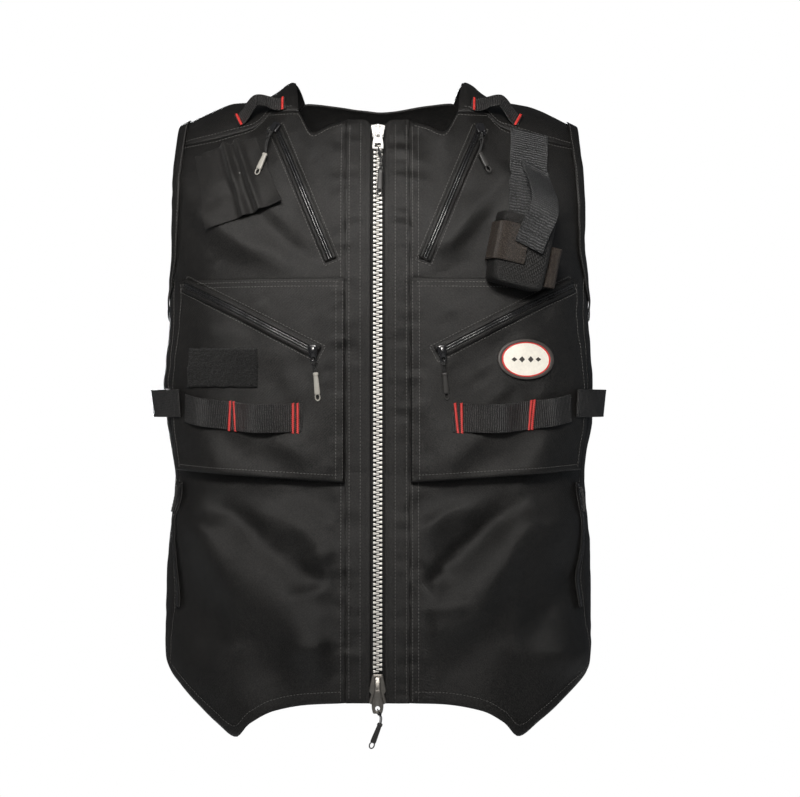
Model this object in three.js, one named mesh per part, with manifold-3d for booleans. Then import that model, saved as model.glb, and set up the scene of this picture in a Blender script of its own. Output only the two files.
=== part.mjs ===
// A black utility work vest, zipped up and in its worn shape, in millimetres.
// +Z is up, the front faces -Y, and +X is the wearer's left. The origin is midway between
// the two points where the shoulders meet the neck, which is where the vest sits on its wearer.
// Every cloth piece is a thin wall that follows one body surface, so a changed size moves them all.
import * as THREE from "three";
import { mergeVertices } from "three/addons/utils/BufferGeometryUtils.js";
import Module from "manifold-3d";

const wasm = await Module();
wasm.setup();

// Driving dimensions of the body surface
const bodyLength = 640; // from the neck points down to the two front hem points
const halfWidth = 215; // half the width at the waist strap
const frontDepth = 128; // from the side line forward to the belly
const backDepth = 116;
const squareness = 2.5; // exponent of the rounded cross-section
const domeHeight = 150; // the shoulders round over within this height
const ridgeForward = -5; // the shoulder line lies this far from the side line
const shoulderDrop = 46; // the shoulder tip below the neck point
const yokeDrop = 70; // the yoke's front seam at the armhole
const backYokeDrop = 75;
const armholeDepth = 228; // the underarm below the neck point
const neckHalf = 84; // half the neck opening at the shoulder line
const frontNeckDrop = 60;
const backNeckDrop = 22;
const foldHeight = 7;

// Cloth, webbing and clearances
const clothWall = 1.6;
const pocketWall = 1.2;
const webbingWidth = 27;
const webbingWall = 1.5;
const gap = 0.3;
const seamGap = 0.6;
const seatGap = 0.9; // what is sewn flat on a curved face clears its facets by this

// Zips
const placketHalf = 29;
const placketWall = 2.3;
const chainWidth = 9;
const chainWall = 3.2;
const chainSink = 1.2; // how far the chain lies below the cloth's outer face
const zipSlot = 6.5; // from the centre line to the placket's folded edge
const tapeWall = 0.8;
const tapeReach = 15;
const sliderWidth = 14;
const tabLength = 24;

// Pockets and what is sewn on them
const pocketTop = 203;
const pocketBottom = 400;
const pocketDepth = 20;
const pocketTurn = 66; // the pocket's outer edge, in degrees round the body
const strapLevel = 334;
const tackInner = 74;
const tackMiddle = 135;
const strapOuter = 177;
const loopBulge = 9; // how far a webbing loop stands off between its tacks
const patchWidth = 66;
const patchHeight = 37;
const patchWall = 2.2;
const badgeWidth = 52;
const badgeHeight = 38;
const badgeWall = 2.4;
const gripWidth = 5.4;
const cordWidth = 2;

// Radio holder
const holderWidth = 54;
const holderDepth = 32;
const holderHeight = 66;
const holderWall = 2;
const holderTilt = 12; // degrees, the top leaning to the wearer's left
const holderWebbing = 38;
const flapWidth = 30;

// The body's outline from neck to hem. level: share of bodyLength. The rest: shares of the named size.
const bodySections = [
  { level: 0.0, width: 1.05, front: 0.8, back: 0.74 },
  { level: 0.1, width: 1.04, front: 0.86, back: 0.86 },
  { level: 0.19, width: 1.03, front: 0.93, back: 0.96 },
  { level: 0.27, width: 0.99, front: 0.97, back: 1.0 },
  { level: 0.36, width: 0.967, front: 0.99, back: 0.98 },
  { level: 0.47, width: 0.995, front: 0.95, back: 0.9 },
  { level: 0.53, width: 0.98, front: 0.93, back: 0.86 },
  { level: 0.61, width: 0.948, front: 0.92, back: 0.85 },
  { level: 0.74, width: 0.98, front: 0.97, back: 0.92 },
  { level: 0.86, width: 0.985, front: 1.0, back: 0.98 },
  { level: 1.0, width: 0.955, front: 0.98, back: 1.0 },
];

// The shoulder line from the neck out. reach: share of the half width. drop: share of shoulderDrop.
const shoulderLine = [
  { reach: 0.0, drop: 0.0 },
  { reach: 0.375, drop: 0.0 },
  { reach: 0.465, drop: 0.28 },
  { reach: 0.523, drop: 0.43 },
  { reach: 0.64, drop: 0.5 },
  { reach: 0.765, drop: 0.72 },
  { reach: 0.886, drop: 1.0 },
  { reach: 1.0, drop: 1.3 },
];

// The armhole's edge. depth: share of armholeDepth. turn: degrees round from the front centre.
const armholeEdge = [
  { depth: 0.0, turn: 59 },
  { depth: 0.24, turn: 59.5 },
  { depth: 0.53, turn: 62 },
  { depth: 0.75, turn: 68.5 },
  { depth: 0.825, turn: 73 },
  { depth: 0.9, turn: 78 },
  { depth: 0.965, turn: 84.5 },
  { depth: 1.0, turn: 90 },
];
const seamDepth = 0.825; // where the side seams run into the armhole
const seamTurn = 73;

// The yoke's front seam. reach: share of the half width. drop: share of yokeDrop.
const yokeSeam = [
  { reach: 0.34, drop: 0.54 },
  { reach: 0.47, drop: 0.55 },
  { reach: 0.505, drop: 0.67 },
  { reach: 0.54, drop: 0.77 },
  { reach: 0.61, drop: 0.84 },
  { reach: 0.74, drop: 0.94 },
  { reach: 0.89, drop: 1.0 },
];

// The yoke's back seam, hidden in the view, kept plain
const backYokeSeam = [
  { reach: 0.34, drop: 0.2 },
  { reach: 0.5, drop: 0.62 },
  { reach: 0.7, drop: 0.86 },
  { reach: 0.89, drop: 1.0 },
];

// The front neckline. across: share from the placket to the neck column. drop: share of frontNeckDrop.
const frontNeck = [
  { across: 0.0, drop: 0.8 },
  { across: 0.36, drop: 0.88 },
  { across: 0.7, drop: 1.0 },
  { across: 1.0, drop: 0.63 },
];

// The front hem. across: share from the placket seam to the side seam. drop: share of bodyLength.
const frontHem = [
  { across: 0.0, drop: 0.942 },
  { across: 0.2, drop: 0.945 },
  { across: 0.4, drop: 0.955 },
  { across: 0.53, drop: 0.974 },
  { across: 0.62, drop: 0.996 },
  { across: 0.74, drop: 0.975 },
  { across: 0.87, drop: 0.946 },
  { across: 1.0, drop: 0.912 },
];
const sideHem = 0.885; // share of bodyLength
const backSeamHem = 0.88;
const backHem = 0.9;

// Where the front's columns of cloth lie, as shares from the placket to the side.
// The column neckColumn ends where the yoke seam meets the neckline.
const frontColumns = [0, 0.14, 0.28, 0.4, 0.52, 0.64, 0.76, 0.87, 0.945, 1];
const neckColumn = 2;
const backColumns = [0, 0.19, 0.38, 0.46, 0.56, 0.66, 0.76, 0.86, 0.945, 1];
const backNeckColumn = 2; // from here outwards the back has as many columns as the front
const lowerRows = 14;
const upperRows = 7;
const yokeRows = 5; // on each slope of the shoulder
const sideColumns = 5;

// Folds of the cloth. Both ends and the width: shares of halfWidth and bodyLength. rise: share of foldHeight.
const rightFolds = [
  { x0: 0.8, z0: 0.67, x1: 0.32, z1: 0.86, width: 0.14, rise: 1.0 },
  { x0: 0.66, z0: 0.66, x1: 0.33, z1: 0.76, width: 0.07, rise: -0.9 },
  { x0: 0.38, z0: 0.66, x1: 0.18, z1: 0.74, width: 0.07, rise: 0.7 },
  { x0: 0.9, z0: 0.8, x1: 0.5, z1: 0.88, width: 0.16, rise: -0.8 },
  { x0: 0.66, z0: 0.9, x1: 0.55, z1: 0.97, width: 0.13, rise: 0.7 },
  { x0: 0.78, z0: 0.22, x1: 0.42, z1: 0.31, width: 0.06, rise: 0.6 },
  { x0: 0.62, z0: 0.19, x1: 0.3, z1: 0.3, width: 0.05, rise: -0.5 },
];
const leftFolds = [
  { x0: 0.78, z0: 0.67, x1: 0.36, z1: 0.8, width: 0.13, rise: 1.0 },
  { x0: 0.6, z0: 0.65, x1: 0.26, z1: 0.76, width: 0.06, rise: -1.0 },
  { x0: 0.36, z0: 0.65, x1: 0.17, z1: 0.7, width: 0.06, rise: 0.6 },
  { x0: 0.88, z0: 0.77, x1: 0.7, z1: 0.84, width: 0.12, rise: -1.0 },
  { x0: 0.9, z0: 0.88, x1: 0.6, z1: 0.86, width: 0.1, rise: 0.8 },
  { x0: 0.5, z0: 0.84, x1: 0.3, z1: 0.9, width: 0.12, rise: -0.6 },
  { x0: 0.36, z0: 0.22, x1: 0.24, z1: 0.3, width: 0.07, rise: 0.5 },
];
const backFolds = [
  { x0: -0.55, z0: 0.3, x1: -0.3, z1: 0.62, width: 0.12, rise: 0.7 },
  { x0: 0.5, z0: 0.28, x1: 0.28, z1: 0.6, width: 0.12, rise: 0.7 },
  { x0: -0.1, z0: 0.45, x1: 0.05, z1: 0.85, width: 0.16, rise: -0.6 },
  { x0: 0.6, z0: 0.62, x1: 0.4, z1: 0.85, width: 0.13, rise: 0.8 },
  { x0: -0.6, z0: 0.65, x1: -0.45, z1: 0.85, width: 0.13, rise: 0.8 },
];

const degree = Math.PI / 180;
const lerp = THREE.MathUtils.lerp;
const clamp = THREE.MathUtils.clamp;

// 0 before start, 1 after end, and an even swing between them
function ease(value, start, end) {
  return THREE.MathUtils.smoothstep(value, start, end);
}

// A smooth curve through a table's rows, with no overshoot between two of them
function curveThrough(rows, acrossName, upName) {
  const at = rows.map((row) => row[acrossName]);
  const up = rows.map((row) => row[upName]);
  const slope = at.slice(1).map((_, i) => (up[i + 1] - up[i]) / (at[i + 1] - at[i]));
  const tangent = at.map((_, i) => {
    if (i === 0) return slope[0];
    if (i === at.length - 1) return slope[i - 1];
    const product = slope[i - 1] * slope[i];
    return product <= 0 ? 0 : (2 * product) / (slope[i - 1] + slope[i]);
  });
  return (value) => {
    const x = clamp(value, at[0], at[at.length - 1]);
    const i = Math.min(at.length - 2, Math.max(0, at.findIndex((a) => a > x) - 1));
    const j = x >= at[at.length - 1] ? at.length - 2 : i;
    const width = at[j + 1] - at[j];
    const t = (x - at[j]) / width;
    return (
      up[j] * (1 + 2 * t) * (1 - t) ** 2 +
      tangent[j] * width * t * (1 - t) ** 2 +
      up[j + 1] * t * t * (3 - 2 * t) +
      tangent[j + 1] * width * t * t * (t - 1)
    );
  };
}

const widthShare = curveThrough(bodySections, "level", "width");
const frontShare = curveThrough(bodySections, "level", "front");
const backShare = curveThrough(bodySections, "level", "back");
const shoulderShare = curveThrough(shoulderLine, "reach", "drop");
const armholeTurnAt = curveThrough(armholeEdge, "depth", "turn");
const underarmDepthAt = curveThrough(armholeEdge.slice(4), "turn", "depth");
const yokeSeamShare = curveThrough(yokeSeam, "reach", "drop");
const backYokeSeamShare = curveThrough(backYokeSeam, "reach", "drop");
const frontNeckShare = curveThrough(frontNeck, "across", "drop");
const frontHemShare = curveThrough(frontHem, "across", "drop");

const chestLevel = -domeHeight;
const notchHeight = -seamDepth * armholeDepth;

function widthAt(z) {
  return halfWidth * widthShare(-z / bodyLength);
}

function ridgeLevel(reach) {
  return -shoulderDrop * shoulderShare(reach);
}

// The share of the half width that a turn round the body reaches, and back again
function reachOf(turn) {
  return Math.sin(turn) ** (2 / squareness);
}
function turnOf(reach) {
  return Math.asin(clamp(reach, 0, 1) ** (squareness / 2));
}

// Height runs evenly up the cloth: it is the true level below the chest, and above it the dome's
// quarter turn is spread over domeHeight, so that 0 is the shoulder ridge.
function levelOf(height, reach) {
  if (height <= chestLevel) return height;
  const rise = ((height - chestLevel) / domeHeight) * (Math.PI / 2);
  return chestLevel + (ridgeLevel(reach) - chestLevel) * Math.sin(rise);
}
function heightOf(z, reach) {
  if (z <= chestLevel) return z;
  const share = clamp((z - chestLevel) / (ridgeLevel(reach) - chestLevel), 0, 1);
  return chestLevel + (domeHeight * Math.asin(share)) / (Math.PI / 2);
}

// The smooth body, without folds. turn: 0 at the front centre, PI at the back centre.
function bareBody(turn, height, hand) {
  const bent = clamp(turn, 0, Math.PI);
  const reach = reachOf(bent);
  const z = levelOf(height, reach);
  const rise = clamp((height - chestLevel) / domeHeight, 0, 1) * (Math.PI / 2);
  const side = Math.abs(Math.cos(bent)) ** (2 / squareness) * Math.cos(rise);
  const level = -z / bodyLength;
  const depth = bent < Math.PI / 2 ? -frontDepth * frontShare(level) : backDepth * backShare(level);
  return new THREE.Vector3(hand * reach * widthAt(z), depth * side - ridgeForward, z);
}

function bodyNormal(turn, height, hand) {
  const step = 0.004;
  const left = bareBody(turn - step, height, hand);
  const right = bareBody(turn + step, height, hand);
  const low = bareBody(turn, height - 1, hand);
  const high = bareBody(turn, height, hand);
  const across = right.sub(left);
  const up = high.sub(low);
  return across.cross(up).multiplyScalar(hand).normalize();
}

// How far the cloth's folds lift it at a place: each row is a soft ridge or valley along a line
function foldAt(point, turn) {
  const front = turn < Math.PI / 2;
  const rows = front ? (point.x < 0 ? rightFolds : leftFolds) : backFolds;
  const x = front ? Math.abs(point.x) : point.x;
  let lift = 0;
  for (const { x0, z0, x1, z1, width, rise } of rows) {
    const start = new THREE.Vector2(x0 * halfWidth, -z0 * bodyLength);
    const end = new THREE.Vector2(x1 * halfWidth, -z1 * bodyLength);
    const here = new THREE.Vector2(x, point.z).sub(start);
    const along = end.sub(start);
    const share = clamp(here.dot(along) / along.lengthSq(), 0, 1);
    const away = here.sub(along.multiplyScalar(share)).length() / (width * halfWidth);
    lift += rise * foldHeight * Math.exp(-away * away);
  }
  const besidePlacket = front ? ease(Math.abs(point.x), placketHalf, placketHalf * 2) : 1;
  const besideSide = ease(Math.abs(turn - Math.PI / 2), 0.1, 0.45);
  const level = -point.z;
  const underPocket = front ? ease(level, pocketTop - 35, pocketTop) - ease(level, pocketBottom + 5, pocketBottom + 40) : 0;
  return lift * besidePlacket * besideSide * (1 - underPocket);
}

// A place on the cloth with the lift along the cloth's normal
function clothPoint(turn, height, hand, lift = 0) {
  const point = bareBody(turn, height, hand);
  const normal = bodyNormal(turn, height, hand);
  return point.add(normal.multiplyScalar(lift + foldAt(point, turn)));
}

// The place on the body that a short move along its surface leads to
function slid(turn, height, hand, move) {
  const here = bareBody(turn, height, hand);
  const perTurn = bareBody(turn + 0.01, height, hand).sub(here).divideScalar(0.01);
  const perHeight = here.sub(bareBody(turn, height - 1, hand));
  const [a, b, c] = [perTurn.lengthSq(), perTurn.dot(perHeight), perHeight.lengthSq()];
  const [u, v] = [move.dot(perTurn), move.dot(perHeight)];
  const scale = a * c - b * b;
  return { turn: turn + (u * c - v * b) / scale, height: height + (v * a - u * b) / scale };
}

function turnAt(x, z) {
  return turnOf(Math.abs(x) / widthAt(z));
}

// A place on the front, given by how far across it is and its true level
function frontPoint(x, z, lift) {
  const turn = turnAt(x, z);
  return clothPoint(turn, heightOf(z, reachOf(turn)), x < 0 ? -1 : 1, lift);
}
function frontNormal(x, z) {
  const turn = turnAt(x, z);
  return bodyNormal(turn, heightOf(z, reachOf(turn)), x < 0 ? -1 : 1);
}

// Geometry helpers
function facingOut(vertices, faces) {
  const geometry = new THREE.BufferGeometry();
  geometry.setAttribute("position", new THREE.Float32BufferAttribute(vertices.flatMap((v) => v.toArray()), 3));
  const volume = faces.reduce((sum, [a, b, c]) => {
    return sum + vertices[a].dot(new THREE.Vector3().crossVectors(vertices[b], vertices[c]));
  }, 0);
  const turned = volume < 0 ? faces.map(([a, b, c]) => [a, c, b]) : faces;
  geometry.setIndex(turned.flat());
  geometry.computeVertexNormals();
  return geometry;
}

// A closed wall between two grids of points, outer and inner, with a rim round the edge
function wallBetween(outer, inner) {
  const rows = outer.length;
  const columns = outer[0].length;
  const vertices = [...outer.flat(), ...inner.flat()];
  const top = (i, j) => i * columns + j;
  const below = (i, j) => rows * columns + i * columns + j;
  const faces = [];
  const quad = (a, b, c, d) => faces.push([a, b, c], [a, c, d]);
  for (let i = 0; i < rows - 1; i++)
    for (let j = 0; j < columns - 1; j++) {
      quad(top(i, j), top(i, j + 1), top(i + 1, j + 1), top(i + 1, j));
      quad(below(i, j), below(i + 1, j), below(i + 1, j + 1), below(i, j + 1));
    }
  for (let j = 0; j < columns - 1; j++) {
    quad(top(0, j), below(0, j), below(0, j + 1), top(0, j + 1));
    quad(top(rows - 1, j), top(rows - 1, j + 1), below(rows - 1, j + 1), below(rows - 1, j));
  }
  for (let i = 0; i < rows - 1; i++) {
    quad(top(i, 0), top(i + 1, 0), below(i + 1, 0), below(i, 0));
    quad(top(i, columns - 1), below(i, columns - 1), below(i + 1, columns - 1), top(i + 1, columns - 1));
  }
  return facingOut(vertices, faces);
}

const turnedPoint = (share) => [Math.cos(share * Math.PI * 2), Math.sin(share * Math.PI * 2)];

// The triangles that fill a flat outline, all turned the way that the outline runs
function capFaces(outline) {
  const points = outline.map(([x, y]) => new THREE.Vector2(x, y));
  const wanted = Math.sign(THREE.ShapeUtils.area(points));
  return THREE.ShapeUtils.triangulateShape(points, []).map(([a, b, c]) => {
    const area = points[b].clone().sub(points[a]).cross(points[c].clone().sub(points[a]));
    return Math.sign(area) === wanted ? [a, b, c] : [a, c, b];
  });
}

// A closed body through rings of points, with flat ends or joined into a loop. cap: the ends' outline.
function throughRings(rings, looped = false, cap = null) {
  const size = rings[0].length;
  const faces = [];
  const last = looped ? rings.length : rings.length - 1;
  for (let i = 0; i < last; i++)
    for (let j = 0; j < size; j++) {
      const a = i * size + j;
      const b = i * size + ((j + 1) % size);
      const c = ((i + 1) % rings.length) * size + ((j + 1) % size);
      const d = ((i + 1) % rings.length) * size + j;
      faces.push([a, b, c], [a, c, d]);
    }
  const end = (rings.length - 1) * size;
  if (!looped)
    for (const [a, b, c] of capFaces(cap ?? Array.from({ length: size }, (_, j) => turnedPoint(j / size)))) {
      faces.push([c, b, a], [end + a, end + b, end + c]);
    }
  return facingOut(rings.flat(), faces);
}

// A strip of webbing, tape or welt. profile: [across, up] corners. places: {point, normal} along its
// middle, with the foot below each point where the strip stands off the cloth.
function strip(places, profile) {
  const count = places.length;
  const footAt = (i) => places[clamp(i, 0, count - 1)].foot ?? places[clamp(i, 0, count - 1)].point;
  const rings = places.map(({ point, normal }, i) => {
    const along = footAt(i + 1).clone().sub(footAt(i - 1));
    const across = new THREE.Vector3().crossVectors(normal, along).normalize();
    return profile.map(([a, b]) => point.clone().addScaledVector(across, a).addScaledVector(normal, b));
  });
  return throughRings(rings, false, profile);
}

function band(width, low, high) {
  return [
    [-width / 2, low],
    [width / 2, low],
    [width / 2, high],
    [-width / 2, high],
  ];
}

function steps(count) {
  return Array.from({ length: count + 1 }, (_, i) => i / count);
}

// A cord of round section through a few points
function cordThrough(points, width, segments) {
  const section = new THREE.Shape();
  section.absarc(0, 0, width / 2, 0, Math.PI * 2);
  const path = new THREE.CatmullRomCurve3(points);
  return new THREE.ExtrudeGeometry(section, { steps: segments, curveSegments: 3, extrudePath: path });
}

function toSolid(geometry) {
  const bare = geometry.index ? geometry.toNonIndexed() : geometry.clone();
  bare.deleteAttribute("normal");
  bare.deleteAttribute("uv");
  const merged = mergeVertices(bare, 1e-3);
  const { array } = merged.getAttribute("position");
  return new wasm.Manifold(
    new wasm.Mesh({ numProp: 3, vertProperties: array, triVerts: new Uint32Array(merged.index.array) }),
  );
}

function toGeometry(solid) {
  const mesh = solid.getMesh();
  const geometry = new THREE.BufferGeometry();
  const vertices = new Float32Array(mesh.numVert * 3);
  for (let i = 0; i < mesh.numVert; i++) {
    vertices.set(mesh.vertProperties.subarray(i * mesh.numProp, i * mesh.numProp + 3), i * 3);
  }
  geometry.setAttribute("position", new THREE.BufferAttribute(vertices, 3));
  geometry.setIndex(new THREE.BufferAttribute(mesh.triVerts, 1));
  geometry.computeVertexNormals();
  return geometry;
}

const finish = (color, roughness, metalness = 0) =>
  new THREE.MeshStandardMaterial({ color, roughness, metalness, side: THREE.DoubleSide });
const cloth = finish("#262423", 0.85);
const liningCloth = finish("#1c1b1b", 0.9);
const webbing = finish("#1a1918", 0.7);
const elastic = finish("#2c2823", 0.8);
const zipTape = finish("#141414", 0.85);
const coilZip = finish("#121212", 0.45);
const silver = finish("#c4c0b8", 0.35, 0.9);
const blackMetal = finish("#1b1b1c", 0.3, 0.6);
const greyGrip = finish("#8c8a82", 0.6);
const loopPile = finish("#131212", 1);
const rubber = finish("#3a3634", 0.6);

const vest = new THREE.Group();
function add(name, geometry, material, parent = vest) {
  const mesh = new THREE.Mesh(geometry, material);
  mesh.name = name;
  parent.add(mesh);
  return mesh;
}
const hands = [
  { side: "right", hand: -1 },
  { side: "left", hand: 1 },
];

// Moves the ends of each row of a grid inwards, so that two panels leave a gap at their seam
function trimmed(grid, distance) {
  const shift = (from, to) => {
    const way = to.clone().sub(from);
    return from.clone().addScaledVector(way.normalize(), distance);
  };
  const wide = grid.map((row) => {
    const copy = row.map((p) => p.clone());
    copy[0] = shift(row[0], row[1]);
    copy[row.length - 1] = shift(row[row.length - 1], row[row.length - 2]);
    return copy;
  });
  const last = wide.length - 1;
  const first = wide[0].map((p, j) => shift(p, wide[1][j]));
  const end = wide[last].map((p, j) => shift(p, wide[last - 1][j]));
  return [first, ...wide.slice(1, last), end];
}

// A panel of cloth from a grid of places, each {turn, height, hand}
function panel(places, thickness) {
  const outer = places.map((row) => row.map((p) => clothPoint(p.turn, p.height, p.hand)));
  const inner = places.map((row) => row.map((p) => clothPoint(p.turn, p.height, p.hand, -thickness)));
  return wallBetween(trimmed(outer, seamGap / 2), trimmed(inner, seamGap / 2));
}

// The armhole's edge itself, which the side panels cut short at the underarm
function outerEdge(height) {
  return armholeTurnAt(-height / armholeDepth) * degree;
}

// How far round the body the panels reach at a height: the side seam, or the armhole above the notch
function outerTurn(height) {
  if (height <= notchHeight) return seamTurn * degree;
  return outerEdge(height);
}

// A column's place at a height: share 0 is the inner edge and 1 the outer
function columnPlace(share, height, hand, inner, back) {
  const outer = outerTurn(height);
  const width = widthAt(levelOf(height, reachOf(outer)));
  const x = lerp(inner, reachOf(outer) * width, share);
  const turn = share === 1 ? outer : turnOf(x / width);
  return { turn: back ? Math.PI - turn : turn, height, hand };
}

// The heights of a column's rows, from the hem through the notch to the top edge
function columnHeights(hem, top) {
  const lower = steps(lowerRows).map((t) => lerp(hem, notchHeight, t));
  const upper = steps(upperRows)
    .slice(1)
    .map((t) => lerp(notchHeight, top, t));
  return [...lower, ...upper];
}

// The top edge of a panel at a column: the neckline up to its neck column, and the yoke seam from there
function seamPlace(share, hand, back) {
  const inner = back ? 0 : frontInner;
  const neckShare = back ? backColumns[backNeckColumn] : frontColumns[neckColumn];
  const drop = back ? backYokeDrop : yokeDrop;
  const seamShare = back ? backYokeSeamShare : yokeSeamShare;
  const edge = reachOf(outerTurn(-drop)) * widthAt(-drop);
  const reach = Math.min(lerp(inner, edge, share) / widthAt(-drop), edge / widthAt(-drop));
  const seamLevel = -drop * seamShare(reach);
  const neckLevel = back
    ? lerp(-backNeckDrop, -drop * seamShare(lerp(inner, edge, neckShare) / widthAt(-drop)), ease(share, 0, neckShare))
    : -frontNeckDrop * frontNeckShare(share / neckShare);
  const height = heightOf(share < neckShare ? neckLevel : seamLevel, reach);
  return columnPlace(share, height, hand, inner, back);
}

const frontInner = placketHalf + gap;
const sideOf = (columns) => columns[0].map((_, i) => columns.map((column) => column[i]));
for (const { side, hand } of hands) {
  const columns = frontColumns.map((share) =>
    columnHeights(-bodyLength * frontHemShare(share), seamPlace(share, hand, false).height).map((height) =>
      columnPlace(share, height, hand, frontInner, false),
    ),
  );
  add(`front_panel_${side}`, panel(sideOf(columns), clothWall), cloth);
}

// The back is one panel from side seam to side seam
const backHalf = (hand) =>
  backColumns.map((share) => {
    const hem = -bodyLength * lerp(backHem, backSeamHem, ease(share, 0, 1));
    return columnHeights(hem, seamPlace(share, hand, true).height).map((height) =>
      columnPlace(share, height, hand, 0, true),
    );
  });
add("back_panel", panel(sideOf([...backHalf(-1).reverse(), ...backHalf(1).slice(1)]), clothWall), cloth);

// Side panels under the arms, whose top edge is the foot of the armhole
for (const { side, hand } of hands) {
  const columns = steps(sideColumns).map((t) => {
    const turn = lerp(seamTurn, 180 - seamTurn, t) * degree;
    const fromMiddle = Math.abs(t - 0.5) * 2;
    const hem = -bodyLength * lerp(sideHem, t < 0.5 ? frontHemShare(1) : backSeamHem, fromMiddle);
    const top = -armholeDepth * underarmDepthAt(Math.min(turn, Math.PI - turn) / degree);
    return steps(lowerRows).map((s) => ({ turn, height: lerp(hem, top, s), hand }));
  });
  add(`side_panel_${side}`, panel(sideOf(columns), clothWall), cloth);
}

// Yokes run from the front seam over the shoulder to the back seam
for (const { side, hand } of hands) {
  const columns = frontColumns.slice(neckColumn).map((share, i) => {
    const start = seamPlace(share, hand, false);
    const end = seamPlace(backColumns[backNeckColumn + i], hand, true);
    const across = i / (frontColumns.length - 1 - neckColumn);
    const ridgeReach = lerp(neckHalf / widthAt(0), reachOf(outerTurn(0)), across);
    const onEdge = i === frontColumns.length - 1 - neckColumn;
    const slope = (place, t) => {
      const height = lerp(place.height, 0, t);
      const reach = lerp(reachOf(Math.min(place.turn, Math.PI - place.turn)), ridgeReach, t);
      return { turn: onEdge ? outerTurn(height) : turnOf(reach), height, hand };
    };
    const forward = steps(yokeRows).map((t) => slope(start, t));
    const rearward = steps(yokeRows)
      .slice(0, -1)
      .map((t) => slope(end, t))
      .map((place) => ({ ...place, turn: Math.PI - place.turn }));
    return [...forward, ...rearward.reverse()];
  });
  add(`shoulder_yoke_${side}`, panel(sideOf(columns), clothWall), cloth);
}

// Front closing: plackets, tapes, chain. All of them lie on the front's centre line.
const hemLevel = -bodyLength * frontHem[0].drop;
const zipTop = -frontNeckDrop * frontNeck[0].drop;
const closingRows = 20;
function centreWall(low, high, from, to, bottom, top, hand, columns = 1) {
  const grid = (lift) =>
    steps(closingRows).map((t) =>
      steps(columns).map((s) => frontPoint(hand * lerp(from, to, s), lerp(bottom, top, t), lift)),
    );
  return wallBetween(grid(high), grid(low));
}
for (const { side, hand } of hands) {
  const fold = placketWall / 4;
  const placket = centreWall(fold - placketWall, fold, zipSlot, placketHalf - gap, hemLevel, zipTop, hand, 3);
  add(`placket_${side}`, placket, cloth);
  const tapeTop = fold - placketWall - gap - 0.2;
  const tape = centreWall(tapeTop - tapeWall, tapeTop, gap, tapeReach, hemLevel + 3, zipTop - 3, hand, 2);
  add(`main_zip_tape_${side}`, tape, zipTape);
}

// Seats a geometry built flat (x across, y up, z out of the cloth) on the front
function seated(geometry, x, z, lift, spin = 0) {
  const normal = frontNormal(x, z);
  const up = new THREE.Vector3(0, 0, 1).addScaledVector(normal, -normal.z).normalize();
  const across = new THREE.Vector3().crossVectors(up, normal);
  const basis = new THREE.Matrix4().makeBasis(across, up, normal).setPosition(frontPoint(x, z, lift));
  return geometry.clone().rotateZ(spin).applyMatrix4(basis);
}
function plate(corners, thickness, bevel = 0, holes = []) {
  const outline = new THREE.Shape(corners.map(([x, y]) => new THREE.Vector2(x, y)));
  for (const { x, y, radius } of holes) {
    const hole = new THREE.Path();
    hole.absarc(x, y, radius, 0, Math.PI * 2);
    outline.holes.push(hole);
  }
  return new THREE.ExtrudeGeometry(outline, {
    depth: thickness - 2 * bevel,
    bevelEnabled: bevel > 0,
    bevelThickness: bevel,
    bevelSize: bevel,
    bevelOffset: -bevel,
    bevelSegments: 1,
    curveSegments: 5,
  }).translate(0, 0, bevel);
}
// A geometry's corners mirrored about the upright line, joined to one outline
function evenOutline(half) {
  return [...half, ...half.map(([x, y]) => [-x, y]).reverse()];
}
function joined(...geometries) {
  return toGeometry(geometries.map(toSolid).reduce((whole, next) => whole.add(next)));
}

// The main zip's chain, sliders and tabs. level: the slider's middle. Heights are along the zip.
const topSlider = { level: -62, top: 6.5, foot: -6.5 };
const bottomSlider = { level: hemLevel + 10.9, top: 17, foot: -11 };
const chain = centreWall(
  -chainSink,
  chainWall - chainSink,
  -chainWidth / 2,
  chainWidth / 2,
  bottomSlider.level + bottomSlider.top + gap * 2,
  topSlider.level + topSlider.foot - gap * 2,
  1,
);
add("main_zip_chain", chain, silver);

const sliderBack = placketWall / 4 + gap;
const sliderHeight = 4.2;
const topSliderOutline = evenOutline([
  [sliderWidth * 0.2, topSlider.top],
  [sliderWidth * 0.55, topSlider.top - 1],
  [sliderWidth * 0.42, 0],
  [sliderWidth * 0.4, topSlider.foot],
]);
add("main_zip_slider_top", seated(plate(topSliderOutline, sliderHeight, 1), 0, topSlider.level, sliderBack), silver);
const bottomSliderOutline = evenOutline([
  [sliderWidth * 0.36, bottomSlider.top],
  [sliderWidth * 0.58, 1.5],
  [sliderWidth * 0.54, 0],
  [sliderWidth * 0.42, -0.8],
  [sliderWidth * 0.6, -8.5],
  [sliderWidth * 0.5, bottomSlider.foot],
]);
const bottomSliderPlate = seated(plate(bottomSliderOutline, sliderHeight, 1), 0, bottomSlider.level, sliderBack);
add("main_zip_slider_bottom", bottomSliderPlate, silver);

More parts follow.
